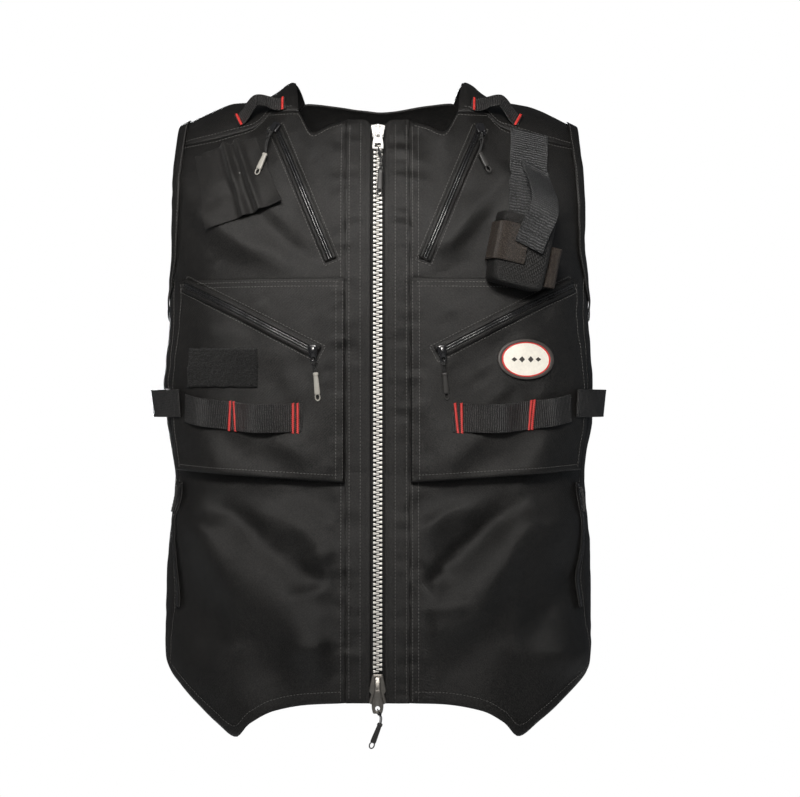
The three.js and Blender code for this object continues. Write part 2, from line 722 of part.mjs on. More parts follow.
const tabWidth = 10.5;
const tabWall = 1.7;
const tabLift = sliderBack + sliderHeight + gap;
const tabHoleRadius = 2.4;
const topTabLevel = -69;
const topTabHole = 12.5 - tabLength;
const topTabOutline = evenOutline([
  [2.6, 8],
  [3.6, 7],
  [tabWidth * 0.45, 1],
  [tabWidth / 2, -13.5],
  [tabWidth * 0.42, 8 - tabLength],
]);
const topTab = plate(topTabOutline, tabWall, 0.4, [{ x: 0, y: topTabHole, radius: tabHoleRadius }]);
add("main_zip_tab_top", seated(topTab, 0, topTabLevel, tabLift), silver);
const bottomTabOutline = evenOutline([
  [2.4, 15],
  [2.9, 14],
  [2.9, 1.5],
  [tabWidth * 0.56, -9],
  [tabWidth * 0.5, -15],
  [tabWidth * 0.4, -19.5],
]);
const bottomTabHole = -14.5;
const bottomTab = plate(bottomTabOutline, tabWall, 0.4, [{ x: 0, y: bottomTabHole, radius: tabHoleRadius }]);
add("main_zip_tab_bottom", seated(bottomTab, 0, bottomSlider.level, tabLift), silver);

// Cargo pockets: dishes open towards the body, flush at the top and proud at the foot
const pocketInner = placketHalf + 2.2;
const pocketReach = reachOf(pocketTurn * degree);
function pocketAcross(x, z) {
  return (Math.abs(x) - pocketInner) / (pocketReach * widthAt(z) - pocketInner);
}
// The lift of the pocket's outer face above the cloth
function pocketLift(x, z) {
  const down = clamp((-z - pocketTop) / (pocketBottom - pocketTop), 0, 1);
  const across = clamp(pocketAcross(x, z), 0, 1);
  const roll = lerp(0.35, 1, ease(across, 0, 0.25)) * lerp(1, 0.5, ease(across, 0.7, 1));
  return seatGap + 0.3 + pocketWall + pocketDepth * 0.8 * down ** 1.2 * roll;
}
const noLift = () => 0;
const pocketCells = 9;
for (const { side, hand } of hands) {
  // the cells narrow towards the side, where the pocket bends most
  const shares = steps(pocketCells).map((t) => 1 - (1 - t) ** 1.4);
  // inset: how far this face keeps inside the pocket's outline. sink: its depth under the outer face.
  const face = (inset, sink) => {
    const edge = inset + 1.5;
    const place = (u, v) => {
      const foot = u === "low" || u === "high" || v === "foot";
      const t = v === "foot" ? 0 : v;
      const s = u === "low" ? 0 : u === "high" ? 1 : u;
      const bottom = lerp(pocketBottom - 4, pocketBottom - 14, s);
      const margin = v === "foot" ? inset : edge;
      const z = -lerp(bottom - margin, pocketTop, t);
      const side = u === "low" || u === "high" ? inset : edge;
      const x = lerp(pocketInner + side, pocketReach * widthAt(z) - side, s);
      const lift = foot ? seatGap + 0.3 : pocketLift(x, z) - sink;
      return frontPoint(hand * x, z, lift);
    };
    return ["foot", ...steps(pocketCells)].map((v) => ["low", ...shares, "high"].map((u) => place(u, v)));
  };
  add(`cargo_pocket_${side}`, wallBetween(face(0, 0), face(pocketWall, pocketWall)), cloth);
}

// Slanted zips: two welts with the closed zip sunk between them
function zipProfile(width, height) {
  return [
    [-width / 2, 0],
    [width / 2, 0],
    [width / 2, height * 0.8],
    [width * 0.2, height],
    [width * 0.17, height * 0.45],
    [-width * 0.17, height * 0.45],
    [-width * 0.2, height],
    [-width / 2, height * 0.8],
  ];
}
function lineOnFront(from, to, count, hand, liftAt) {
  return steps(count).map((t) => {
    const x = hand * lerp(from.x, to.x, t);
    const z = lerp(from.z, to.z, t);
    return { point: frontPoint(x, z, liftAt(x, z)), normal: frontNormal(x, z) };
  });
}
const chestZip = { from: { x: 98, z: -56 }, to: { x: 44, z: -186 }, width: 12 };
const cargoZip = { from: { x: 184, z: -207 }, to: { x: 55, z: -273 }, width: 13 };
const sideZip = { level: { high: -398, low: -520 }, turn: 67.5, width: 8 };
const onPocket = (x, z) => pocketLift(x, z) + seatGap + 0.4;
const onCloth = () => seatGap + 0.4;
const zipHeight = 1.8;
for (const { side, hand } of hands) {
  const chest = lineOnFront(chestZip.from, chestZip.to, 10, hand, onCloth);
  add(`chest_zip_${side}`, strip(chest, zipProfile(chestZip.width, zipHeight)), coilZip);
  const cargo = lineOnFront(cargoZip.from, cargoZip.to, 14, hand, onPocket);
  add(`cargo_zip_${side}`, strip(cargo, zipProfile(cargoZip.width, zipHeight)), coilZip);
  const low = steps(10).map((t) => {
    const height = lerp(sideZip.level.high, sideZip.level.low, t);
    const turn = sideZip.turn * degree;
    return { point: clothPoint(turn, height, hand, seatGap * 2), normal: bodyNormal(turn, height, hand) };
  });
  add(`side_zip_${side}`, strip(low, zipProfile(sideZip.width, 1.4)), coilZip);
}

// A pull on a zip: a small slider with its tab, a cord through the tab's hole, and a grip on the cord.
// Every place is x and z on the front. lift: the height of the tab above what it lies on.
const smallTabLift = 4.6;
const smallSlider = () => {
  const body = plate(evenOutline([[2.4, 5.5], [4.6, 3.5], [4, -3], [3, -5.5]]), 3.2, 0.6);
  const post = plate(evenOutline([[1.3, 3], [1.3, -1.5]]), smallTabLift - 1).translate(0, 0, 1.8);
  const tab = plate(evenOutline([[1.8, 4], [2.4, 3], [3.1, -7], [2.2, -10.5]]), 1.2, 0, [
    { x: 0, y: -7, radius: 1.6 },
  ]).translate(0, 0, smallTabLift);
  return joined(body, post, tab);
};
function roundedProfile(width, height, corner, turns = [0, 45, 90]) {
  const outline = [];
  for (const [sx, sy, start] of [[1, 1, 0], [-1, 1, 90], [-1, -1, 180], [1, -1, 270]])
    for (const turn of turns) {
      const angle = (start + turn) * degree;
      outline.push([
        sx * (width / 2 - corner) + corner * Math.cos(angle),
        sy * (height / 2 - corner) + corner * Math.sin(angle),
      ]);
    }
  return outline;
}
function gripBetween(start, end, normal) {
  const along = end.clone().sub(start).normalize();
  const across = new THREE.Vector3().crossVectors(normal, along).normalize();
  const out = new THREE.Vector3().crossVectors(across, along);
  const shape = roundedProfile(gripWidth, gripWidth * 0.62, 1.3, [0, 90]);
  const rings = [
    [0, 0.7],
    [0.06, 1],
    [0.94, 1],
    [1, 0.7],
  ].map(([t, size]) =>
    shape.map(([a, b]) =>
      start
        .clone()
        .lerp(end, t)
        .addScaledVector(across, a * size)
        .addScaledVector(out, b * size),
    ),
  );
  const loop = new THREE.TorusGeometry(2.3, 0.75, 4, 10).scale(0.85, 1.45, 1);
  const middle = end.clone().addScaledVector(along, 2.4);
  loop.applyMatrix4(new THREE.Matrix4().makeBasis(across, along, out).setPosition(middle));
  return joined(throughRings(rings), loop);
}
function addPull({ name, hole, lift, drift, start, end, liftAt, material }) {
  const base = liftAt(hole.x, hole.z);
  const at = (x, z, height) => frontPoint(x, z, base + height);
  const top = at(start.x, start.z, start.lift);
  const low = at(end.x, end.z, end.lift);
  const normal = frontNormal(start.x, start.z);
  const along = low.clone().sub(top).normalize();
  const side = new THREE.Vector2(start.x - hole.x, start.z - hole.z).normalize();
  const from = (step, height) => at(hole.x + side.x * step, hole.z + side.y * step, height);
  const cord = [
    from(-1, lift + cordWidth * 1.25),
    from(3, lift + cordWidth * 1.55),
    at(lerp(hole.x, start.x, 0.6) + drift, lerp(hole.z, start.z, 0.6), lerp(lift + 2, start.lift, 0.6)),
    top.clone().addScaledVector(along, -gap * 2.7),
  ];
  add(`${name}_cord`, cordThrough(cord, cordWidth, 10), webbing);
  add(`${name}_grip`, gripBetween(top, low, normal), material);
}
addPull({
  name: "main_pull_top",
  hole: { x: 0, z: topTabLevel + topTabHole },
  lift: tabLift + tabWall / 2,
  drift: 1.5,
  start: { x: 2.6, z: -102, lift: 5.5 },
  end: { x: 1.8, z: -121, lift: 5 },
  liftAt: noLift,
  material: rubber,
});
addPull({
  name: "main_pull_bottom",
  hole: { x: 0, z: bottomSlider.level + bottomTabHole },
  lift: tabLift + tabWall / 2,
  drift: 1.5,
  start: { x: 2.6, z: bottomSlider.level - 29, lift: 3 },
  end: { x: -4.6, z: bottomSlider.level - 48, lift: 1 },
  liftAt: noLift,
  material: rubber,
});

// Pulls of the chest and cargo zips, and the short cords of the side zips. Each row: x outwards, z.
const chestPulls = {
  right: { start: { x: 105, z: -87, lift: 6 }, end: { x: 112, z: -101, lift: 4.5 }, drift: 1, material: greyGrip },
  left: { start: { x: 95, z: -86, lift: 6 }, end: { x: 102.5, z: -99, lift: 4.5 }, drift: 1, material: rubber },
};
const cargoPulls = {
  right: { start: { x: 57, z: -291, lift: 5 }, end: { x: 55.5, z: -312, lift: 4.2 }, drift: -1, material: greyGrip },
  left: { start: { x: 61.5, z: -291, lift: 5 }, end: { x: 63.5, z: -311, lift: 4.2 }, drift: 1, material: rubber },
};
const slidersOn = [
  { part: "chest", zip: chestZip, at: 0.03, pulls: chestPulls, liftAt: onCloth, sign: 1 },
  { part: "cargo", zip: cargoZip, at: 0.965, pulls: cargoPulls, liftAt: onPocket, sign: -1 },
];
const sliderClear = zipHeight + gap + 0.2;
for (const { side, hand } of hands)
  for (const { part, zip, at, pulls, liftAt, sign } of slidersOn) {
    const place = { x: lerp(zip.from.x, zip.to.x, at), z: lerp(zip.from.z, zip.to.z, at) };
    const pull = pulls[side];
    // the tab hangs from the zip's own direction towards its grip
    const toGrip = Math.atan2(hand * (pull.start.x - place.x), place.z - pull.start.z);
    const base = liftAt(place.x, place.z) + sliderClear;
    const slider = seated(smallSlider(), hand * place.x, place.z, base, toGrip);
    add(`${part}_zip_slider_${side}`, slider, blackMetal);
    const hole = {
      x: hand * place.x + Math.sin(toGrip) * 7,
      z: place.z - Math.cos(toGrip) * 7,
    };
    addPull({
      name: `${part}_pull_${side}`,
      hole,
      lift: sliderClear + smallTabLift + 0.6,
      drift: pull.drift * hand * sign,
      start: { ...pull.start, x: hand * pull.start.x },
      end: { ...pull.end, x: hand * pull.end.x },
      liftAt: () => liftAt(place.x, place.z),
      material: pull.material,
    });
  }
for (const { side, hand } of hands) {
  const heightAt = (share) => lerp(sideZip.level.high, sideZip.level.low, share);
  const points = [
    [0.04, 0, 5.4],
    [0.14, 0.4, 6.2],
    [0.24, -0.6, 5.4],
  ].map(([share, turned, lift]) => clothPoint((sideZip.turn + turned) * degree, heightAt(share), hand, lift));
  add(`side_pull_${side}`, cordThrough(points, 3.4, 8), webbing);
}

// Webbing straps: sewn down at the tacks and standing off in a loop between them
const strapLevelAt = (x) => -strapLevel + 14 * ease(Math.abs(x), strapOuter * 0.6, strapOuter * 1.25);
const arch = (value, start, end) => {
  const share = (value - start) / (end - start);
  return share <= 0 || share >= 1 ? 0 : Math.sin(share * Math.PI) ** 1.5;
};
const strapProfile = band(webbingWidth, 0, webbingWall);
for (const { side, hand } of hands) {
  const front = steps(20).map((t) => {
    const x = lerp(tackInner - 5, strapOuter, t);
    const z = strapLevelAt(x);
    const lift = loopBulge * arch(x, tackInner + 3, tackMiddle - 3) + loopBulge * 0.5 * arch(x, tackMiddle + 3, strapOuter);
    const base = pocketLift(x, z) + seatGap + 0.9;
    return {
      point: frontPoint(hand * x, z, base + lift),
      foot: frontPoint(hand * x, z, base),
      normal: frontNormal(hand * x, z),
    };
  });
  add(`front_strap_${side}`, strip(front, strapProfile), webbing);

  const startTurn = turnAt(strapOuter + 5, -strapLevel);
  const round = steps(20).map((t) => {
    const turn = lerp(startTurn, 124 * degree, t);
    const z = strapLevelAt(strapOuter * 1.3);
    const base = lerp(pocketLift(strapOuter + 5, z) + seatGap, seatGap, ease(t, 0, 0.5)) + 0.4;
    const lift = base + loopBulge * 1.1 * arch(t, 0.06, 0.94);
    return {
      point: clothPoint(turn, z, hand, lift),
      foot: clothPoint(turn, z, hand, base),
      normal: bodyNormal(turn, z, hand),
    };
  });
  add(`side_strap_${side}`, strip(round, strapProfile), webbing);
}

// Shoulder loops on the yokes
const shoulderLoop = { from: { x: 90, z: -30 }, to: { x: 138, z: -47 }, width: 19, height: 15 };
for (const { side, hand } of hands) {
  const lift = (t) => gap * 1.5 + shoulderLoop.height * arch(t, 0.08, 0.92);
  const places = steps(18).map((t) => {
    const x = hand * lerp(shoulderLoop.from.x, shoulderLoop.to.x, t);
    const z = lerp(shoulderLoop.from.z, shoulderLoop.to.z, t);
    return { point: frontPoint(x, z, lift(t)), foot: frontPoint(x, z, lift(0)), normal: frontNormal(x, z) };
  });
  add(`shoulder_loop_${side}`, strip(places, band(shoulderLoop.width, 0, webbingWall)), webbing);
}

// The wearer's right: the channelled panel on the chest and the loop pile patch on the pocket
const channelPanel = {
  outerTop: { x: -176, z: -84 },
  innerTop: { x: -117, z: -67 },
  outerFoot: { x: -160, z: -156 },
  innerFoot: { x: -90, z: -131 },
  channels: [0.5, 0.7],
  channelHalf: 0.08,
  channelRise: 8,
  peel: 7,
};
function fourCorners({ outerTop, innerTop, outerFoot, innerFoot }, s, t) {
  const mix = (key) => lerp(lerp(outerFoot[key], innerFoot[key], s), lerp(outerTop[key], innerTop[key], s), t);
  return { x: mix("x"), z: mix("z") };
}
const panelShares = [0, 0.18, 0.36, 0.43, 0.47, 0.53, 0.57, 0.63, 0.67, 0.73, 0.78, 0.88, 1];
const channelFace = (sink) =>
  steps(6).map((t) =>
    panelShares.map((s) => {
      const { x, z } = fourCorners(channelPanel, s, t);
      const rise = channelPanel.channels.reduce(
        (sum, middle) => sum + Math.exp(-(((s - middle) / channelPanel.channelHalf) ** 2) * 1.4),
        0,
      );
      const peel = channelPanel.peel * (s * (1 - t)) ** 3 + channelPanel.peel * 0.3 * ((1 - s) * (1 - t)) ** 3;
      return frontPoint(x, z, seatGap + pocketWall + channelPanel.channelRise * rise * 0.8 + peel - sink);
    }),
  );
add("channel_panel", wallBetween(channelFace(0), channelFace(pocketWall)), elastic);

const patchCentre = { x: -144, z: -287 };
const patchFace = (lift) =>
  steps(5).map((t) =>
    steps(8).map((s) => {
      const x = patchCentre.x + (s - 0.5) * patchWidth;
      const z = patchCentre.z + (t - 0.5) * patchHeight;
      return frontPoint(x, z, pocketLift(x, z) + seatGap + lift);
    }),
  );
add("loop_patch", wallBetween(patchFace(patchWall), patchFace(0)), loopPile);

// The wearer's left: an oval rubber badge with a raised rim. rings: share of the oval, and its lift.
const badgeCentre = { x: 137, z: -279 };
const badgeRings = [
  [0.02, 0],
  [0.5, 0],
  [1, 0],
  [1, badgeWall * 0.75],
  [0.97, badgeWall],
  [0.9, badgeWall],
  [0.88, badgeWall * 0.72],
  [0.5, badgeWall * 0.72],
  [0.02, badgeWall * 0.72],
];
const badge = badgeRings.map(([share, lift]) =>
  steps(23).map((s) => {
    const angle = (s * 23 * Math.PI * 2) / 24;
    const x = badgeCentre.x + (share * Math.cos(angle) * badgeWidth) / 2;
    const z = badgeCentre.z + (share * Math.sin(angle) * badgeHeight) / 2;
    return frontPoint(x, z, pocketLift(x, z) + seatGap + lift);
  }),
);
add("oval_badge", throughRings(badge), rubber);

// The radio holder: webbing sewn below the yoke, a tilted open cup on it, and the pieces round the cup
const holderTop = { x: 146, z: -59 };
const holderFoot = { x: 139, z: -186 };
const holderLine = lineOnFront(holderTop, holderFoot, 12, 1, () => seatGap * 0.8);
add("radio_strap", strip(holderLine, band(holderWebbing, 0, webbingWall)), webbing);

const cupSpin = -holderTilt * degree;
const cupStandOff = 3.3;
const cupMiddle = { x: 126, z: -188 };
// A place in the holder's own frame: across, up from the cup's foot, and out from its back face
const holderBasis = (() => {
  const normal = frontNormal(cupMiddle.x, cupMiddle.z);
  normal.z = 0;
  normal.normalize();
  const level = new THREE.Vector3().crossVectors(new THREE.Vector3(0, 0, 1), normal);
  const up = new THREE.Vector3(0, 0, 1).applyAxisAngle(normal, cupSpin);
  const across = level.applyAxisAngle(normal, cupSpin);
  const foot = frontPoint(cupMiddle.x, cupMiddle.z, cupStandOff).addScaledVector(up, -holderHeight * 0.36);
  return { across, up, normal, foot };
})();
function inHolder(across, up, out) {
  const { foot, across: a, up: u, normal } = holderBasis;
  return foot.clone().addScaledVector(a, across).addScaledVector(u, up).addScaledVector(normal, out);
}
function cupRing(up, inset, size = 1, corner = 9) {
  const width = (holderWidth - 2 * inset) * size;
  const depth = holderDepth * size - 2 * inset;
  return roundedProfile(width, depth, Math.max(2, corner - inset)).map(([a, b]) =>
    inHolder(a, up, b + holderDepth / 2),
  );
}
const cupRings = [
  cupRing(0, 3, 0.9),
  cupRing(3, 0, 0.95),
  cupRing(holderHeight * 0.45, 0, 1),
  cupRing(holderHeight, 0, 0.98),
  cupRing(holderHeight, holderWall, 0.98),
  cupRing(holderHeight * 0.45, holderWall, 1),
  cupRing(3, holderWall, 0.95),
  cupRing(holderWall, 3 + holderWall, 0.9),
];
add("radio_cup", throughRings(cupRings), liningCloth);

// The elastic band wraps the cup's inner side. Each row: across and out, round the cup.
const bandHeight = 36;
const bandPath = [
  [-holderWidth * 0.25, -0.8],
  [-holderWidth * 0.41, -0.8],
  [-holderWidth * 0.512, holderDepth * 0.16],
  [-holderWidth * 0.52, holderDepth * 0.5],
  [-holderWidth * 0.512, holderDepth * 0.84],
  [-holderWidth * 0.41, holderDepth * 1.025],
  [-holderWidth * 0.2, holderDepth * 1.025],
  [0, holderDepth * 1.025],
];
function wrapStrip(path, low, high, wall) {
  const curve = new THREE.CatmullRomCurve3(path.map(([a, o]) => new THREE.Vector3(a, 0, o)));
  const points = curve.getSpacedPoints(path.length * 2);
  const rings = points.map((point, i) => {
    const tangent = curve.getTangentAt(i / (points.length - 1));
    const side = new THREE.Vector3(-tangent.z, 0, tangent.x);
    const corner = (w, up) => inHolder(point.x + side.x * w, up, point.z + side.z * w);
    return [corner(0, low), corner(wall, low), corner(wall, high), corner(0, high)];
  });
  return throughRings(rings);
}
add("radio_band", wrapStrip(bandPath, holderHeight * 0.3, holderHeight * 0.3 + bandHeight, 1.2), elastic);

// The retaining strap crosses in front of the cup. Each row: across, up, out, in the holder's frame.
const flapPath = [
  [19, holderHeight * 1.4, holderDepth * 0.85],
  [14, holderHeight * 1.25, holderDepth * 1.1],
  [9, holderHeight * 1.05, holderDepth * 1.16],
  [3, holderHeight * 0.8, holderDepth * 1.12],
  [0, holderHeight * 0.55, holderDepth * 1.12],
];
const flapStart = [
  frontPoint(144, -90, seatGap + webbingWall + 3.5),
  frontPoint(147, -98, seatGap + webbingWall + 7),
];
const flapCurve = new THREE.CatmullRomCurve3([...flapStart, ...flapPath.map((row) => inHolder(...row))]);
const flapPoints = flapCurve.getSpacedPoints(14);
const flapBand = band(flapWidth, 0, webbingWall);
const flapAcross = inHolder(1, -0.35, 0).sub(inHolder(0, 0, 0)).normalize();
const flapRings = flapPoints.map((point, i) => {
  const along = flapPoints[Math.min(i + 1, 14)].clone().sub(flapPoints[Math.max(i - 1, 0)]).normalize();
  const out = new THREE.Vector3().crossVectors(along, flapAcross).normalize();
  return flapBand.map(([a, b]) => point.clone().addScaledVector(flapAcross, a).addScaledVector(out, b));
});
add("radio_flap", throughRings(flapRings, false, flapBand), webbing);

// A small open sleeve on the cup's outer side
const sleeve = { across: holderWidth * 0.5 + 6.4, out: holderDepth * 0.6, width: 12, depth: 9, low: 6, high: 44, wall: 1.1 };
const sleeveRing = (up, inset) =>
  roundedProfile(sleeve.width - 2 * inset, sleeve.depth - 2 * inset, 3 - inset).map(([a, b]) =>
    inHolder(sleeve.across + a, up, sleeve.out + b),
  );
const sleeveRings = [
  sleeveRing(sleeve.low, 0),
  sleeveRing(sleeve.high, 0),
  sleeveRing(sleeve.high, sleeve.wall),
  sleeveRing(sleeve.low, sleeve.wall),
];
add("radio_sleeve", throughRings(sleeveRings, true), elastic);

// Armhole bindings: a folded band round the edge of each armhole
const bindingWidth = 11;
const bindingSteps = 16;
for (const { side, hand } of hands) {
  const quarter = steps(bindingSteps).map((t) => -armholeDepth * (1 - (1 - t) ** 1.25));
  const loop = [
    ...quarter.slice(0, -1).map((height) => ({ height, turn: outerEdge(height) })),
    ...quarter.slice(1).reverse().map((height) => ({ height, turn: Math.PI - outerEdge(height) })),
  ];
  const rings = loop.map(({ height, turn }, i) => {
    const before = loop[(i + loop.length - 1) % loop.length];
    const after = loop[(i + 1) % loop.length];
    const along = bareBody(after.turn, after.height, hand).sub(bareBody(before.turn, before.height, hand));
    const away = along.cross(bodyNormal(turn, height, hand)).normalize();
    const corner = (distance, lift) => {
      const place = slid(turn, height, hand, away.clone().multiplyScalar(distance));
      return clothPoint(place.turn, place.height, hand, lift);
    };
    const lift = seatGap * 1.3;
    return [
      corner(hand * 0.5, lift),
      corner(hand * (bindingWidth + 0.5), lift),
      corner(hand * (bindingWidth + 0.5), lift + 1),
      corner(hand * 0.5, lift + 1),
    ];
  });
  add(`armhole_binding_${side}`, throughRings(rings, true), cloth);
}

export default vest;
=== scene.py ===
"""A black utility work vest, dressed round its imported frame. Sizes are in millimetres, meshes in metres."""

import bpy
import numpy as np
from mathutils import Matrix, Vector


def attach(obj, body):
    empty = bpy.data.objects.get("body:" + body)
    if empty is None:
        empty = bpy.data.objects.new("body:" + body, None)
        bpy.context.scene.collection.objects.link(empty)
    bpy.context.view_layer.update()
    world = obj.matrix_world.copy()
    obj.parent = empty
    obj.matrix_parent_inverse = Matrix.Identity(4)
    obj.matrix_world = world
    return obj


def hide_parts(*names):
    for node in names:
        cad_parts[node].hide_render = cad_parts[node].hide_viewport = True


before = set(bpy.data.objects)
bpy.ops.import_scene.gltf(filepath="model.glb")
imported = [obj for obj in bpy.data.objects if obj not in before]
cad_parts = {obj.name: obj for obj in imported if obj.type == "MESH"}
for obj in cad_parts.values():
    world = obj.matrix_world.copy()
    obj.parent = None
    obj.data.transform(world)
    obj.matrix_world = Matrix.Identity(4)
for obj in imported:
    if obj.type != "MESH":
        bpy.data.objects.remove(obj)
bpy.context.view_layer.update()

# The camera stands level with the middle of the vest and two metres in front of it, with a
# short telephoto lens.
camera_place = (0.021, -2.0, -0.3165)
lens = 90

camera_data = bpy.data.cameras.new("camera")
camera_data.lens = lens
camera_data.sensor_width = 36
camera = bpy.data.objects.new("camera", camera_data)
camera.location = camera_place
camera.rotation_euler = (np.pi / 2, 0, 0)
bpy.context.collection.objects.link(camera)
bpy.context.scene.camera = camera
bpy.context.scene.view_settings.view_transform = "Standard"

# The studio: a pale floor at standing height below the vest, a large soft light high in front, two
# upright strips that draw the sides, and a pale surround.
floor_level = -1.45
surround_seen = (1.0, 1.0, 1.0, 1)
surround_light = (0.9, 0.93, 1.0, 1)


def soft_light(name, place, target, size, power, color, spread=180):
    """A rectangular studio light of size = (width, height) metres that looks at target. spread: its beam, in degrees."""
    data = bpy.data.lights.new(name, "AREA")
    data.shape = "RECTANGLE"
    data.size, data.size_y = size
    data.energy = power
    data.color = color
    data.spread = np.radians(spread)
    lamp = bpy.data.objects.new(name, data)
    lamp.location = place
    away = Vector(target) - Vector(place)
    lamp.rotation_euler = away.to_track_quat("-Z", "Y").to_euler()
    bpy.context.collection.objects.link(lamp)


soft_light("key_light", (-0.15, -1.85, 0.56), (0, -0.1, -0.08), (0.7, 0.4), 3.6, (1.0, 0.97, 0.93), 46)
soft_light("top_light", (-0.2, -0.9, 0.6), (0, 0, -0.2), (0.8, 0.4), 3, (1.0, 0.98, 0.96))
soft_light("fill_light", (0.15, -2.3, 0.15), (0, 0, -0.3), (0.25, 0.25), 3, (1.0, 0.97, 0.93))
soft_light("left_strip", (1.5, 0.5, -0.1), (0, 0, -0.35), (0.3, 1.4), 1.0, (0.8, 0.9, 1.0))
soft_light("right_strip", (-1.5, 0.5, -0.1), (0, 0, -0.35), (0.3, 1.4), 0.9, (1.0, 0.97, 0.94))
soft_light("back_light", (-0.3, 1.9, 0.02), (0, 0.1, -0.34), (0.9, 0.9), 52, (0.96, 0.98, 1.0))

world = bpy.data.worlds.new("surround")
bpy.context.scene.world = world
world.use_nodes = True
world_nodes = world.node_tree.nodes
world_links = world.node_tree.links
lit = world_nodes["Background"]
lit.inputs["Color"].default_value = surround_light
lit.inputs["Strength"].default_value = 0.06
seen = world_nodes.new("ShaderNodeBackground")
seen.inputs["Color"].default_value = surround_seen
seen.inputs["Strength"].default_value = 1.0
rays = world_nodes.new("ShaderNodeLightPath")
choice = world_nodes.new("ShaderNodeMixShader")
world_links.new(rays.outputs["Is Camera Ray"], choice.inputs[0])
world_links.new(lit.outputs[0], choice.inputs[1])
world_links.new(seen.outputs[0], choice.inputs[2])
world_links.new(choice.outputs[0], world_nodes["World Output"].inputs[0])

floor_mesh = bpy.data.meshes.new("floor")
turns = np.linspace(0, 2 * np.pi, 96, endpoint=False)
rim = np.stack([3 * np.cos(turns), 3 * np.sin(turns), np.full(96, floor_level)], 1)
floor_mesh.from_pydata([tuple(p) for p in rim], [], [tuple(range(96))])
floor = bpy.data.objects.new("floor", floor_mesh)
bpy.context.collection.objects.link(floor)
floor_material = bpy.data.materials.new("pale_floor")
floor_material.use_nodes = True
floor_shader = floor_material.node_tree.nodes["Principled BSDF"]
floor_shader.inputs["Base Color"].default_value = (0.86, 0.86, 0.85, 1)
floor_shader.inputs["Roughness"].default_value = 0.8
floor_shader.inputs["Emission Color"].default_value = (1, 1, 1, 1)
floor_shader.inputs["Emission Strength"].default_value = 0.12
floor_mesh.materials.append(floor_material)

# The back panel is one cut of black nylon twill from side seam to side seam, shaped over the
# shoulder blades. It sets the body that every other piece of the vest is sewn on.
body_length = 640
half_width = 215
front_depth, back_depth = 128, 116
squareness = 2.5
dome_height = 150
ridge_forward = -5
shoulder_drop = 46
yoke_drop, back_yoke_drop = 70, 75
armhole_depth = 228
neck_half = 84
front_neck_drop, back_neck_drop = 60, 22
fold_height = 9
cloth_wall = 1.6
placket_half = 29
pocket_top, pocket_bottom = 203, 400
seam_depth, seam_turn = 0.825, np.radians(73)


def ease(value, start, end):
    """0 before start, 1 after end, and an even swing 3t² - 2t³ between them."""
    t = np.clip((value - start) / (end - start), 0, 1)
    return t * t * (3 - 2 * t)


def lerp(a, b, t):
    """The place at share t on the way from a to b."""
    return a + (b - a) * t


def curve_through(*rows):
    """A smooth curve through (at, up) rows: cubic pieces whose slopes are the harmonic mean of their neighbours'."""
    at, up = np.array(rows, float).T
    width = np.diff(at)
    slope = np.diff(up) / width
    product = slope[:-1] * slope[1:]
    total = slope[:-1] + slope[1:]
    inner = np.where(product > 0, 2 * product / np.where(product > 0, total, 1), 0)
    tangent = np.concatenate([slope[:1], inner, slope[-1:]])

    def curve(value):
        x = np.clip(value, at[0], at[-1])
        j = np.clip(np.searchsorted(at, x, side="right") - 1, 0, len(at) - 2)
        t = (x - at[j]) / width[j]
        ends = up[j] * (1 + 2 * t) * (1 - t) ** 2 + up[j + 1] * t * t * (3 - 2 * t)
        return ends + width[j] * (tangent[j] * t * (1 - t) ** 2 + tangent[j + 1] * t * t * (t - 1))

    return curve


# each row of these: share of the body's length, share of the half width or of a depth
width_share = curve_through(
    (0, 1.05), (0.1, 1.04), (0.19, 1.03), (0.27, 0.99), (0.36, 0.967), (0.47, 0.995),
    (0.53, 0.98), (0.61, 0.948), (0.74, 0.98), (0.86, 0.985), (1, 0.955),
)
front_share = curve_through(
    (0, 0.8), (0.1, 0.86), (0.19, 0.93), (0.27, 0.97), (0.36, 0.99), (0.47, 0.95),
    (0.53, 0.93), (0.61, 0.92), (0.74, 0.97), (0.86, 1), (1, 0.98),
)
back_share = curve_through(
    (0, 0.74), (0.1, 0.86), (0.19, 0.96), (0.27, 1), (0.36, 0.98), (0.47, 0.9),
    (0.53, 0.86), (0.61, 0.85), (0.74, 0.92), (0.86, 0.98), (1, 1),
)
# each row: share of the half width, share of the shoulder's drop
shoulder_share = curve_through(
    (0, 0), (0.375, 0), (0.465, 0.28), (0.523, 0.43), (0.64, 0.5), (0.765, 0.72), (0.886, 1), (1, 1.3)
)
# each row: share of the armhole's depth, degrees round from the front
armhole_rows = (
    (0, 59), (0.24, 59.5), (0.53, 62), (0.75, 68.5), (0.825, 73), (0.9, 78), (0.965, 84.5), (1, 90)
)
armhole_turn = curve_through(*armhole_rows)
underarm_depth = curve_through(*[(turn, depth) for depth, turn in armhole_rows[4:]])
# each row: share of the half width, share of the yoke's drop
yoke_seam = curve_through(
    (0.34, 0.54), (0.47, 0.55), (0.505, 0.67), (0.54, 0.77), (0.61, 0.84), (0.74, 0.94), (0.89, 1)
)
back_yoke_seam = curve_through((0.34, 0.2), (0.5, 0.62), (0.7, 0.86), (0.89, 1))
neckline = curve_through((0, 0.8), (0.36, 0.88), (0.7, 1), (1, 0.63))
front_hem = curve_through(
    (0, 0.942), (0.2, 0.945), (0.4, 0.955), (0.53, 0.974), (0.62, 0.996), (0.74, 0.975), (0.87, 0.946), (1, 0.912)
)
side_hem, back_seam_hem, back_hem = 0.885, 0.88, 0.9
chest_level = -dome_height
notch_height = -seam_depth * armhole_depth


def width_at(z):
    """Half the body's width at a level."""
    return half_width * width_share(-z / body_length)


